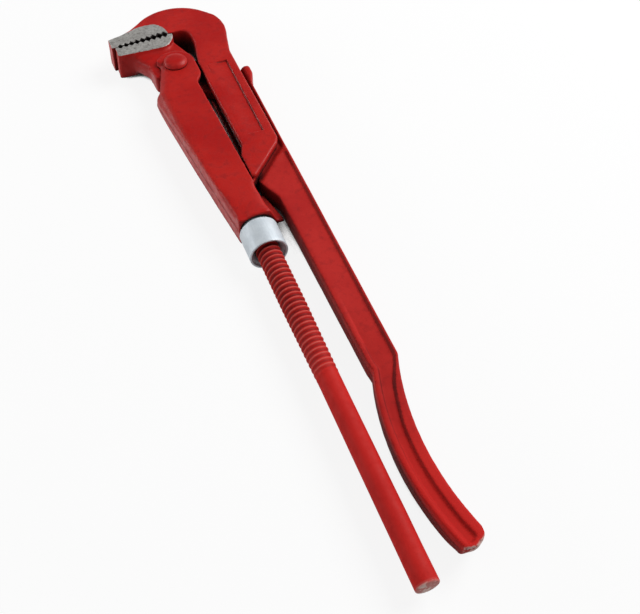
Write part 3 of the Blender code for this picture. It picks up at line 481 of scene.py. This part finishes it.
def shallow_gaps(p, n):
    """Where the painted shade of gaps is weaker: beside the flange, and along the grip's slanting edge."""
    flange = smooth_step(p[:, 0], 31 * MM, 33 * MM) * smooth_step(p[:, 1], 60 * MM, 70 * MM)
    slope = smooth_step(p[:, 1], 46 * MM, 52 * MM) * smooth_step(p[:, 0], 15 * MM, 18 * MM)
    return np.maximum(flange, 0.7 * slope)


def lever_ridge(p, n):
    """The parting line along the grip."""
    return facing_out(p, n) * (p[:, 1] < 36 * MM) * (p[:, 1] > -200 * MM) * 0.7


def sleeve_ground(p, n):
    """Nothing on the sleeve is ground."""
    return np.full(len(p), -3.0)


def sleeve_blend(p):
    """The soft front of the boss over the nut."""
    height = smooth_step(p[:, 1], 19 * MM, 22 * MM) * smooth_step(p[:, 1], 47 * MM, 40 * MM)
    return height * smooth_step(p[:, 2], 2 * MM, 4 * MM)


def sleeve_ridge(p, n):
    """The parting line along the sleeve's left side."""
    return facing_out(p, n) * (n[:, 0] < -0.5) * (p[:, 1] > 19 * MM) * (p[:, 1] < 143 * MM) * 1.5


def lathe(name, profile, place, along, steps):
    """A turned mesh from (radius, height) points, closed where the radius is 0."""
    points, faces, rings = [], [], []
    for radius, height in profile:
        if radius <= 0:
            rings.append([len(points)])
            points.append((0.0, 0.0, height))
            continue
        rings.append(list(range(len(points), len(points) + steps)))
        for i in range(steps):
            turn = 2 * math.pi * i / steps
            points.append((radius * math.cos(turn), radius * math.sin(turn), height))
    for low, high in zip(rings, rings[1:]):
        for i in range(steps):
            j = (i + 1) % steps
            corners = [low[i % len(low)], low[j % len(low)], high[j % len(high)], high[i % len(high)]]
            face = list(dict.fromkeys(corners))
            if len(face) > 2:
                faces.append(face)
    if len(rings[0]) > 1 and len(rings[-1]) > 1 and rings[0] != rings[-1]:
        for i in range(steps):
            j = (i + 1) % steps
            faces.append([rings[-1][i], rings[-1][j], rings[0][j], rings[0][i]])
    mesh = mesh_from(name, points, faces)
    tilt = Matrix.Rotation(math.radians(-90), 4, "X") if along == "y" else Matrix.Identity(4)
    mesh.transform(Matrix.Translation(place) @ tilt)
    tidy_normals(mesh)
    return mesh


def tidy_normals(mesh):
    shape = bmesh.new()
    shape.from_mesh(mesh)
    bmesh.ops.recalc_face_normals(shape, faces=shape.faces)
    shape.to_mesh(mesh)
    shape.free()


def round_over(profile, radius, steps=4):
    """A turned profile with its inner corners cut as small arcs."""
    made = [profile[0]]
    for before, here, after in zip(profile, profile[1:], profile[2:]):
        a, b, c = Vector(before), Vector(here), Vector(after)
        reach = min(radius, 0.45 * (a - b).length, 0.45 * (c - b).length)
        start, end = b + (a - b).normalized() * reach, b + (c - b).normalized() * reach
        for i in range(steps + 1):
            t = i / steps
            made.append(tuple(start * (1 - t) ** 2 + b * 2 * t * (1 - t) + end * t * t))
    made.append(profile[-1])
    return made


def threaded_rod():
    """The round handle with its rolled thread as a true helix, shallower towards its lower end."""
    ends = [ROD_END_Y, ROD_END_Y + 0.25 * MM, ROD_END_Y + 0.6 * MM, ROD_END_Y + ROD_END_ROUND]
    plain = list(np.linspace(ROD_END_Y + 2 * MM, THREAD_LOW_Y - THREAD_FADE, 30))
    rolled = list(np.arange(THREAD_LOW_Y - THREAD_FADE + 0.3 * MM, ROD_TOP_Y, 0.32 * MM))
    rows = np.array(ends + plain + rolled + [ROD_TOP_Y])
    steps = 72
    turn = 2 * math.pi * np.arange(steps) / steps
    shape = Waves(5, 30 * MM)
    points, faces = [(0.0, ROD_END_Y, 0.0)], []
    for y in rows:
        fade = np.clip((y - THREAD_LOW_Y + THREAD_FADE) / THREAD_FADE, 0, 1)
        # a right-hand helix: the crest rises as it turns from X towards -Z
        phase = (y / THREAD_PITCH + turn / (2 * math.pi)) % 1.0
        crest = (0.5 + 0.5 * np.cos(2 * math.pi * phase)) ** 1.5
        full = np.clip((y - THREAD_LOW_Y) / (THREAD_FULL_Y - THREAD_LOW_Y), 0, 1)
        height = (THREAD_LAST_R + (THREAD_R - THREAD_LAST_R) * full - PLAIN_R) * fade
        radius = PLAIN_R + height * crest
        inset = max(0.0, 1 - (y - ROD_END_Y) / ROD_END_ROUND)
        radius = radius - ROD_END_ROUND * (1 - math.sqrt(max(0.0, 1 - inset * inset)))
        spots = np.stack([radius * np.cos(turn), np.full(steps, y), radius * np.sin(turn)], axis=1)
        uneven = shape(spots) * 0.05 * MM * (1 - fade)
        spots[:, 0] += uneven * np.cos(turn)
        spots[:, 2] += uneven * np.sin(turn)
        points += [tuple(s) for s in spots]
    for i in range(steps):
        faces.append([0, 1 + i, 1 + (i + 1) % steps])
    for r in range(len(rows) - 1):
        for i in range(steps):
            j = (i + 1) % steps
            a = 1 + r * steps
            faces.append([a + i, a + steps + i, a + steps + j, a + j])
    top = 1 + (len(rows) - 1) * steps
    faces.append([top + i for i in range(steps)][::-1])
    mesh = mesh_from("threaded_rod_rolled", points, faces)
    links = neighbours(mesh)
    spots = read_points(mesh)
    height = np.hypot(spots[:, 0], spots[:, 2])
    on_thread = np.clip((spots[:, 1] - THREAD_LOW_Y + 2 * MM) / (3 * MM), 0, 1)
    full = np.clip((spots[:, 1] - THREAD_LOW_Y) / (THREAD_FULL_Y - THREAD_LOW_Y), 0, 1)
    top = THREAD_LAST_R + (THREAD_R - THREAD_LAST_R) * full
    share = (height - PLAIN_R) / (top - PLAIN_R)
    # where the thread gets its painted highlight and painted shade, and the end its pale chips
    crest = np.clip((share - 0.70) / 0.30, 0, 1) * on_thread
    valley = np.clip((0.45 - share) / 0.55, 0, 1) * on_thread * (0.5 + 0.5 * full)
    end = np.clip(1 - (spots[:, 1] - ROD_END_Y) / (1.1 * MM), 0, 1)
    set_value(mesh, "crest", crest)
    set_value(mesh, "valley", valley)
    set_value(mesh, "end", end)
    mesh.transform(Matrix.Translation(AXIS))
    tidy_normals(mesh)
    piece = new_object("threaded_rod_rolled", mesh)
    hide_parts("threaded_rod")
    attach(piece, "hook")
    return piece


def adjusting_nut():
    """The round nut with its neck, and a mouth that widens towards the rod."""
    low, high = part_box("adjusting_nut")
    outer = (high.x - low.x) / 2
    bottom, top = low.y - AXIS.y, high.y - AXIS.y
    shoulder = bottom + 18.8 * MM
    bore, mouth, neck = THREAD_R + 0.3 * MM, 10.35 * MM, 8.9 * MM
    body = [
        (bore, top),
        (neck, top),
        (neck, shoulder),
        (outer, shoulder),
        (outer, bottom),
        (mouth, bottom),
        (mouth - 0.5 * MM, bottom + 1.4 * MM),
        (bore, bottom + 4.2 * MM),
    ]
    profile = round_over(body, 0.45 * MM, 4)
    mesh = lathe("adjusting_nut_zinc", profile, AXIS, "y", 128)
    piece = new_object("adjusting_nut_zinc", mesh)
    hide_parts("adjusting_nut")
    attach(piece, "nut")
    return piece


def pivot_rivet():
    """The rivet with its full front dome, a flatter rear head and a few hammer dents."""
    low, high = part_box("pivot_rivet")
    centre = Vector(((low.x + high.x) / 2, (low.y + high.y) / 2, 0.0))
    front = high.z
    seat_front, seat_rear = AXIS.z + 10.3 * MM, AXIS.z - 10.3 * MM
    head, flat, shank, rear = 7.9 * MM, 1.54 * MM, 4.5 * MM, 7.5 * MM
    profile = [(0.0, front)]
    for i in range(15):
        turn = math.radians(90 - 90 * i / 14)
        out = math.cos(turn) ** 0.9 if i else 0.0
        profile.append((flat + (head - flat) * out, seat_front + (front - seat_front) * math.sin(turn)))
    profile += [(head - 0.25 * MM, seat_front), (shank, seat_front), (shank, seat_rear)]
    for i in range(11):
        turn = math.radians(90 * i / 10)
        radius = rear * (0.45 + 0.55 * math.cos(turn))
        profile.append((radius, seat_rear - (seat_rear - low.z) * math.sin(turn)))
    profile.append((0.0, low.z))
    mesh = lathe("pivot_rivet_domed", profile, centre, "z", 64)
    points = read_points(mesh)
    normals = read_normals(mesh)
    dents = Waves(31, 5 * MM)(points) * 0.07 * MM
    points += normals * np.minimum(dents, 0.0)[:, None]
    points[:, 2] = np.clip(points[:, 2], low.z, high.z)
    write_points(mesh, points)
    piece = new_object("pivot_rivet_domed", mesh)
    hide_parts("pivot_rivet")
    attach(piece, "sleeve")
    return piece


# Materials


def srgb(red, green, blue):
    """An sRGB colour of 0 to 255 as linear values with alpha."""
    made = []
    for value in (red, green, blue):
        value /= 255
        made.append(value / 12.92 if value <= 0.04045 else ((value + 0.055) / 1.055) ** 2.4)
    return (*made, 1.0)


class Nodes:
    """Short calls that add shader nodes and link what they are given."""

    def __init__(self, name):
        self.material = bpy.data.materials.new(name)
        self.material.use_nodes = True
        self.tree = self.material.node_tree
        self.tree.nodes.clear()
        self.place = self.add("TexCoord").outputs["Object"]

    def add(self, kind, sockets=None, **settings):
        node = self.tree.nodes.new("ShaderNode" + kind)
        for key, value in settings.items():
            setattr(node, key, value)
        for key, value in (sockets or {}).items():
            if isinstance(value, bpy.types.NodeSocket):
                self.tree.links.new(value, node.inputs[key])
            else:
                node.inputs[key].default_value = value
        return node

    def noise(self, size, detail=2.0, roughness=0.5, place=None):
        """Noise of about that size in metres, from 0 to 1."""
        settings = {
            "Vector": place or self.place,
            "Scale": 1.0 / size,
            "Detail": detail,
            "Roughness": roughness,
        }
        return self.add("TexNoise", settings).outputs["Fac"]

    def attribute(self, name):
        return self.add("Attribute", attribute_name=name).outputs["Fac"]

    def math(self, operation, one, two=0.0, clamp=False):
        return self.add("Math", {0: one, 1: two}, operation=operation, use_clamp=clamp).outputs[0]

    def spread(self, value, low, high, to_low=0.0, to_high=1.0):
        """Maps low..high to to_low..to_high, smoothly and clamped."""
        settings = {"Value": value, "From Min": low, "From Max": high, "To Min": to_low, "To Max": to_high}
        return self.add("MapRange", settings, interpolation_type="SMOOTHSTEP").outputs["Result"]

    def mix(self, share, one, two):
        return self.add("Mix", {0: share, 6: one, 7: two}, data_type="RGBA").outputs[2]

    def blend(self, share, one, two):
        return self.add("Mix", {0: share, 2: one, 3: two}, data_type="FLOAT").outputs[0]

    def bump(self, height, distance, strength):
        settings = {"Height": height, "Distance": distance, "Strength": strength}
        return self.add("Bump", settings).outputs["Normal"]

    def finish(self, **sockets):
        """A principled shader from its sockets' names in lower case, linked to the output."""
        names = {key.replace("_", " ").title(): value for key, value in sockets.items()}
        names = {"Specular IOR Level" if key == "Specular Level" else key: v for key, v in names.items()}
        shader = self.add("BsdfPrincipled", names)
        output = self.add("OutputMaterial")
        self.tree.links.new(shader.outputs[0], output.inputs[0])
        return self.material


RED = srgb(174, 22, 20)
RED_LIGHT = srgb(186, 33, 28)
RED_DARK = srgb(146, 18, 19)
# painted light: a brighter red for the rod and the grip's end
RED_LIT = srgb(208, 30, 24)
# painted shade in hollows and along the parting line
RED_HOLLOW_SHADE = srgb(96, 10, 13)
# painted shade in deep gaps and corners
RED_DEEP_SHADE = srgb(22, 2, 3)
# painted shade on walls and undersides
RED_LINE_SHADE = srgb(98, 10, 11)
# painted shade in the thread's valleys
RED_VALLEY_SHADE = srgb(70, 6, 8)
# painted shade on the grip's left side
RED_SIDE_SHADE = srgb(122, 28, 24)
# pale wear and painted highlight on edges and thread crests
RED_WEAR_AND_HIGHLIGHT = srgb(210, 112, 102)
# chipped enamel, pale enough to stand in for a highlight on the ends
END_CHIPS_AND_HIGHLIGHT = srgb(252, 220, 210)
STEEL = srgb(184, 182, 178)
STEEL_DARK = srgb(138, 135, 131)
STEEL_SPOT = srgb(92, 84, 80)
STEEL_TOOTH = srgb(112, 107, 103)
# painted shade on the tooth flanks and in the gaps between the teeth
TOOTH_GAP_SHADE = srgb(26, 18, 18)
# How near another surface has to be for the painted shade of ambient occlusion
SHADE_REACH = 16 * MM


def tooth_marks(m, speck):
    """Black diamonds of painted shade where the two rows of teeth leave gaps, a little uneven at their
    edges.
    """
    parts = m.add("SeparateXYZ", {0: m.place}).outputs
    x = m.math("SUBTRACT", parts["X"], AXIS.x + BITE_X)
    y = m.math("SUBTRACT", parts["Y"], AXIS.y + BITE_Y)
    cos, sin = math.cos(BITE_TILT), math.sin(BITE_TILT)
    along = m.math("ADD", m.math("MULTIPLY", x, cos), m.math("MULTIPLY", y, sin))
    above = m.math("SUBTRACT", m.math("MULTIPLY", y, cos), m.math("MULTIPLY", x, sin))
    across = m.math("PINGPONG", m.math("ADD", along, 50 * TOOTH_PITCH), TOOTH_PITCH / 2)
    # larger towards the throat
    size = m.spread(along, -16 * MM, 14 * MM, 0.85, 1.45)
    wide = m.math("DIVIDE", across, m.math("MULTIPLY", size, MARK_HALF))
    high = m.math("DIVIDE", m.math("ABSOLUTE", above), m.math("MULTIPLY", size, MARK_HEIGHT))
    rim = m.math("ADD", m.math("ADD", wide, high), m.math("MULTIPLY", speck, MARK_UNEVEN))
    mark = m.spread(rim, 1.35 + MARK_UNEVEN / 2, 1.05 + MARK_UNEVEN / 2)
    inside = m.math("LESS_THAN", m.math("ABSOLUTE", along), TOOTH_COUNT / 2 * TOOTH_PITCH)
    return m.math("MULTIPLY", mark, inside)


def forged_wear_and_painted_light(m, colour, rough, fine):
    """Pale edges of wear and painted highlight, painted shade in hollows, along the parting line, on walls
    and side faces, painted light on the grip, dull handled faces, and chips.
    """
    convex = m.attribute("convex")
    # pale edges: wear and painted highlight
    wear_and_highlight = m.math("MULTIPLY", m.spread(convex, 0.18, 0.62), m.spread(fine, 0.34, 0.60))
    colour = m.mix(m.math("MULTIPLY", wear_and_highlight, 0.55), colour, RED_WEAR_AND_HIGHLIGHT)
    # painted shade in hollows
    hollow = m.spread(convex, -0.12, -0.55)
    colour = m.mix(m.math("MULTIPLY", hollow, 0.7), colour, RED_HOLLOW_SHADE)
    # painted shadow along the parting line
    seam_shadow = m.math("MULTIPLY", m.attribute("seam_shadow"), m.spread(fine, 0.30, 0.55, 0.3, 0.85))
    colour = m.mix(seam_shadow, colour, RED_HOLLOW_SHADE)
    # painted shade on the walls that line marks
    line = m.math("MULTIPLY", m.attribute("line"), m.spread(fine, 0.25, 0.55, 0.55, 0.95))
    colour = m.mix(line, colour, RED_LINE_SHADE)
    # painted shade on side faces
    shade = m.math("MULTIPLY", m.attribute("shade"), m.spread(fine, 0.25, 0.6, 0.35, 0.75))
    colour = m.mix(shade, colour, RED_SIDE_SHADE)
    rough = m.blend(m.attribute("matt"), rough, 0.75)
    # painted light: a brighter red on the grip's front
    colour = m.mix(m.math("MULTIPLY", m.attribute("painted_light"), 0.75), colour, RED_LIT)
    # chips, which also stand in for a highlight at the grip's end
    chip_and_highlight = m.math("MULTIPLY", m.attribute("chip_and_highlight"), m.spread(fine, 0.36, 0.50))
    return m.mix(chip_and_highlight, colour, END_CHIPS_AND_HIGHLIGHT), rough


def bare_steel(m, colour, rough, fine, nook_shade):
    """Mottled ground steel with an uneven border to the enamel, and tooth flanks in darker steel with
    painted shade in their gaps.
    """
    edge = m.math("ADD", m.attribute("bare"), m.math("MULTIPLY", m.math("SUBTRACT", fine, 0.5), 2.0))
    bare = m.spread(edge, -0.12, 0.12)
    speck = m.noise(0.0016, 3.0, 0.7)
    steel = m.mix(m.spread(speck, 0.40, 0.72), STEEL, STEEL_DARK)
    steel = m.mix(m.spread(m.noise(0.010, 2.0), 0.4, 0.7, 0.0, 0.35), steel, STEEL_DARK)
    steel = m.mix(m.spread(m.noise(0.0024, 3.0, 0.7), 0.56, 0.70, 0.0, 0.7), steel, STEEL_SPOT)
    colour = m.mix(bare, colour, steel)
    rough = m.blend(bare, rough, m.spread(speck, 0.3, 0.7, 0.42, 0.62))
    # painted shade on the tooth flanks: darker steel, near-black where occlusion is strong
    flank = m.spread(m.attribute("tooth_shade"), 0.3, 0.7)
    colour = m.mix(flank, colour, m.mix(nook_shade, STEEL_TOOTH, TOOTH_GAP_SHADE))
    # painted shade in the gaps between the teeth
    marks = tooth_marks(m, speck)
    colour = m.mix(marks, colour, TOOTH_GAP_SHADE)
    tooth_shade = m.math("MAXIMUM", flank, marks)
    rough = m.blend(tooth_shade, rough, 0.75)
    metal = m.math("MULTIPLY", m.math("SUBTRACT", bare, tooth_shade, clamp=True), 0.35)
    return colour, rough, metal


def rod_wear_and_painted_light(m, colour, wide, fine):
    """Painted light as a brighter red, painted highlights with some wear on the thread's crests, painted
    shade in its valleys, and an end with pale chips.
    """
    # painted light: the rod is a brighter red
    colour = m.mix(m.spread(wide, 0.2, 0.8, 0.5, 0.7), colour, RED_LIT)
    # painted highlight, with some wear, on the thread's crests
    wear_and_highlight = m.math("MULTIPLY", m.attribute("crest"), m.spread(fine, 0.25, 0.6, 0.35, 1.0))
    colour = m.mix(m.math("MULTIPLY", wear_and_highlight, 0.60), colour, RED_WEAR_AND_HIGHLIGHT)
    # painted shade in the thread's valleys
    colour = m.mix(m.math("MULTIPLY", m.attribute("valley"), 0.95), colour, RED_VALLEY_SHADE)
    # pale chips on the rod's end, which also stand in for a highlight
    end_chips_and_highlight = m.math("MULTIPLY", m.attribute("end"), m.spread(fine, 0.44, 0.56, 0.35, 1.0))
    return m.mix(end_chips_and_highlight, colour, END_CHIPS_AND_HIGHLIGHT)


def enamel(name, kind):
    """Red enamel over a forged skin. kind says which values the mesh carries: forged, rod or rivet."""
    m = Nodes(name)
    wide = m.noise(0.030, 3.0, 0.55)
    fine = m.noise(0.0045, 4.0, 0.6)
    grain = m.noise(0.0012, 2.0, 0.5)
    colour = m.mix(m.spread(wide, 0.35, 0.65), RED, RED_LIGHT)
    colour = m.mix(m.spread(fine, 0.48, 0.76, 0.0, 0.60), colour, RED_DARK)
    colour = m.mix(m.spread(grain, 0.62, 0.80, 0.0, 0.30), colour, RED_LIGHT)
    rough = m.spread(fine, 0.3, 0.7, 0.60, 0.72) if kind == "rod" else m.spread(fine, 0.3, 0.7, 0.34, 0.50)
    peel = m.noise(0.0011, 2.0, 0.45)
    pits = m.noise(0.0034, 3.0, 0.55)
    height = m.math("ADD", m.math("MULTIPLY", peel, 0.35), m.math("MULTIPLY", pits, 1.0))
    # painted shade: ambient occlusion darkens the enamel towards near-black in gaps and corners
    nook_shade = m.add("AmbientOcclusion", {"Distance": SHADE_REACH}, samples=8).outputs["AO"]
    nook_shade = m.spread(nook_shade, 0.70, 0.32)
    # open_gap weakens this painted shade in the wider gaps of the lever
    if kind == "forged":
        nook_shade = m.math("MULTIPLY", nook_shade, m.spread(m.attribute("open_gap"), 0.0, 1.0, 1.0, 0.35))
    colour = m.mix(nook_shade, colour, RED_DEEP_SHADE)
    rough = m.blend(nook_shade, rough, 0.95)
    metal = 0.0
    if kind == "forged":
        colour, rough = forged_wear_and_painted_light(m, colour, rough, fine)
        colour, rough, metal = bare_steel(m, colour, rough, fine, nook_shade)
    if kind == "rod":
        colour = rod_wear_and_painted_light(m, colour, wide, fine)
    normal = m.bump(height, 0.00022, 0.65)
    return m.finish(base_color=colour, roughness=rough, metallic=metal, normal=normal, specular_level=0.2)


def zinc():
    m = Nodes("zinc_plated_nut")
    stretched = m.add("Mapping", {"Vector": m.place, "Scale": (1.0, 0.12, 1.0)}).outputs[0]
    streak = m.noise(0.0011, 3.0, 0.6, place=stretched)
    cloud = m.noise(0.006, 3.0, 0.6)
    colour = m.mix(m.spread(cloud, 0.3, 0.7), srgb(222, 230, 236), srgb(206, 215, 222))
    colour = m.mix(m.spread(streak, 0.45, 0.75, 0.0, 0.5), colour, srgb(196, 205, 212))
    rough = m.spread(streak, 0.3, 0.7, 0.46, 0.60)
    normal = m.bump(streak, 0.00008, 0.5)
    return m.finish(base_color=colour, roughness=rough, metallic=0.25, normal=normal)


def spring_wire():
    m = Nodes("dark_spring_wire")
    cloud = m.noise(0.0012, 3.0, 0.6)
    colour = m.mix(m.spread(cloud, 0.3, 0.7), srgb(105, 104, 104), srgb(70, 68, 68))
    rough = m.spread(cloud, 0.3, 0.7, 0.32, 0.55)
    return m.finish(base_color=colour, roughness=rough, metallic=1.0)


def dress(piece, material):
    piece.data.materials.clear()
    piece.data.materials.append(material)


hook = forging(
    "hook_leg",
    "hook",
    0.50 * MM,
    hook_ground,
    hook_ridge,
    seed=101,
    reshape=hook_reshape,
    keep=hook_keep,
    marks={"line": hook_line},
)
lever = forging(
    "lever_with_lower_jaw",
    "lever",
    0.58 * MM,
    lever_ground,
    lever_ridge,
    seed=211,
    reshape=lever_reshape,
    blend=lever_blend,
    keep=lever_keep,
    marks={
        "line": groove_line,
        "shade": grip_side,
        "matt": grip_matt,
        "painted_light": grip_painted_light,
        "open_gap": shallow_gaps,
        "chip_and_highlight": grip_chips_and_highlight,
    },
)
sleeve = forging(
    "housing_sleeve", "sleeve", 0.50 * MM, sleeve_ground, sleeve_ridge, seed=307, blend=sleeve_blend
)
forged_enamel = enamel("red_enamel_forged", "forged")
for piece in (hook, lever, sleeve):
    dress(piece, forged_enamel)
dress(threaded_rod(), enamel("red_enamel_rod", "rod"))
dress(pivot_rivet(), enamel("red_enamel_rivet", "rivet"))
dress(adjusting_nut(), zinc())
dress(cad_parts["nut_retaining_ring"], spring_wire())


# Stage: a pale floor, soft lamps and the photograph's view


def pale_floor():
    m = Nodes("pale_floor")
    path = m.add("LightPath")
    seen = m.math("MAXIMUM", path.outputs["Is Camera Ray"], path.outputs["Is Glossy Ray"])
    # painted shadow: ambient occlusion dims the floor's glow, so narrow gaps in the object stay dark,
    # though the open floor is white
    nook_shade = m.add("AmbientOcclusion", {"Distance": 0.030}, samples=32)
    openness = m.spread(nook_shade.outputs["AO"], 0.12, 0.22, 0.01, 1.0)
    share = m.math("MULTIPLY", seen, 0.88)
    grey = m.mix(seen, (0.30, 0.30, 0.30, 1.0), (0.93, 0.93, 0.93, 1.0))
    matt = m.add("BsdfDiffuse", {"Color": grey})
    glow = m.add("Emission", {"Color": (1.0, 1.0, 1.0, 1.0), "Strength": openness})
    both = m.add("MixShader", {0: share, 1: matt.outputs[0], 2: glow.outputs[0]})
    output = m.add("OutputMaterial")
    m.tree.links.new(both.outputs[0], output.inputs[0])
    return m.material


reach = 3.0
corners = [(-reach, -reach, 0), (reach, -reach, 0), (reach, reach, 0), (-reach, reach, 0)]
floor = new_object("floor", mesh_from("floor", corners, [[0, 1, 2, 3]]))
dress(floor, pale_floor())

world = bpy.data.worlds.new("studio")
bpy.context.scene.world = world
world.use_nodes = True
sky = world.node_tree.nodes["Background"]
sky.inputs["Color"].default_value = (1.0, 1.0, 1.0, 1.0)
# a tent: brighter near the horizon than overhead
way = world.node_tree.nodes.new("ShaderNodeTexCoord").outputs["Generated"]
height = world.node_tree.nodes.new("ShaderNodeSeparateXYZ")
band = world.node_tree.nodes.new("ShaderNodeMapRange")
for name, value in (("From Min", 0.15), ("From Max", 0.55), ("To Min", 0.75), ("To Max", 0.09)):
    band.inputs[name].default_value = value
world.node_tree.links.new(way, height.inputs[0])
world.node_tree.links.new(height.outputs["Z"], band.inputs["Value"])
# the camera sees a white background past the floor's edge
ray = world.node_tree.nodes.new("ShaderNodeLightPath")
seen = world.node_tree.nodes.new("ShaderNodeMath")
seen.operation = "MAXIMUM"
world.node_tree.links.new(band.outputs["Result"], seen.inputs[0])
world.node_tree.links.new(ray.outputs["Is Camera Ray"], seen.inputs[1])
world.node_tree.links.new(seen.outputs[0], sky.inputs["Strength"])


def lamp(name, place, size, power):
    """A rectangular lamp that looks at the object."""
    light = bpy.data.lights.new(name, "AREA")
    light.shape = "RECTANGLE"
    light.size, light.size_y = size
    light.energy = power
    thing = bpy.data.objects.new(name, light)
    bpy.context.scene.collection.objects.link(thing)
    thing.location = place
    thing.rotation_euler = (-Vector(place)).to_track_quat("-Z", "Y").to_euler()


lamp("key", (1.0, 0.2, 1.0), (0.8, 0.8), 18.0)
lamp("fill", (-0.8, 0.2, 1.2), (1.2, 1.2), 2.0)
lamp("left strip", (-0.90, 0.63, 0.28), (1.0, 0.16), 4.0)

# the photograph's view
view = bpy.data.cameras.new("photo_view")
view.lens = 52.79
view.sensor_width = 36.0
view.clip_start = 0.01
eye = bpy.data.objects.new("photo_view", view)
bpy.context.scene.collection.objects.link(eye)
eye.location = AXIS + Vector((-0.099716, -0.33305, 0.4050))
looking = Vector((0.2219, 0.5594, -0.7986)).normalized()
eye.rotation_euler = looking.to_track_quat("-Z", "Y").to_euler()
bpy.context.scene.camera = eye
bpy.context.scene.view_settings.view_transform = "Standard"
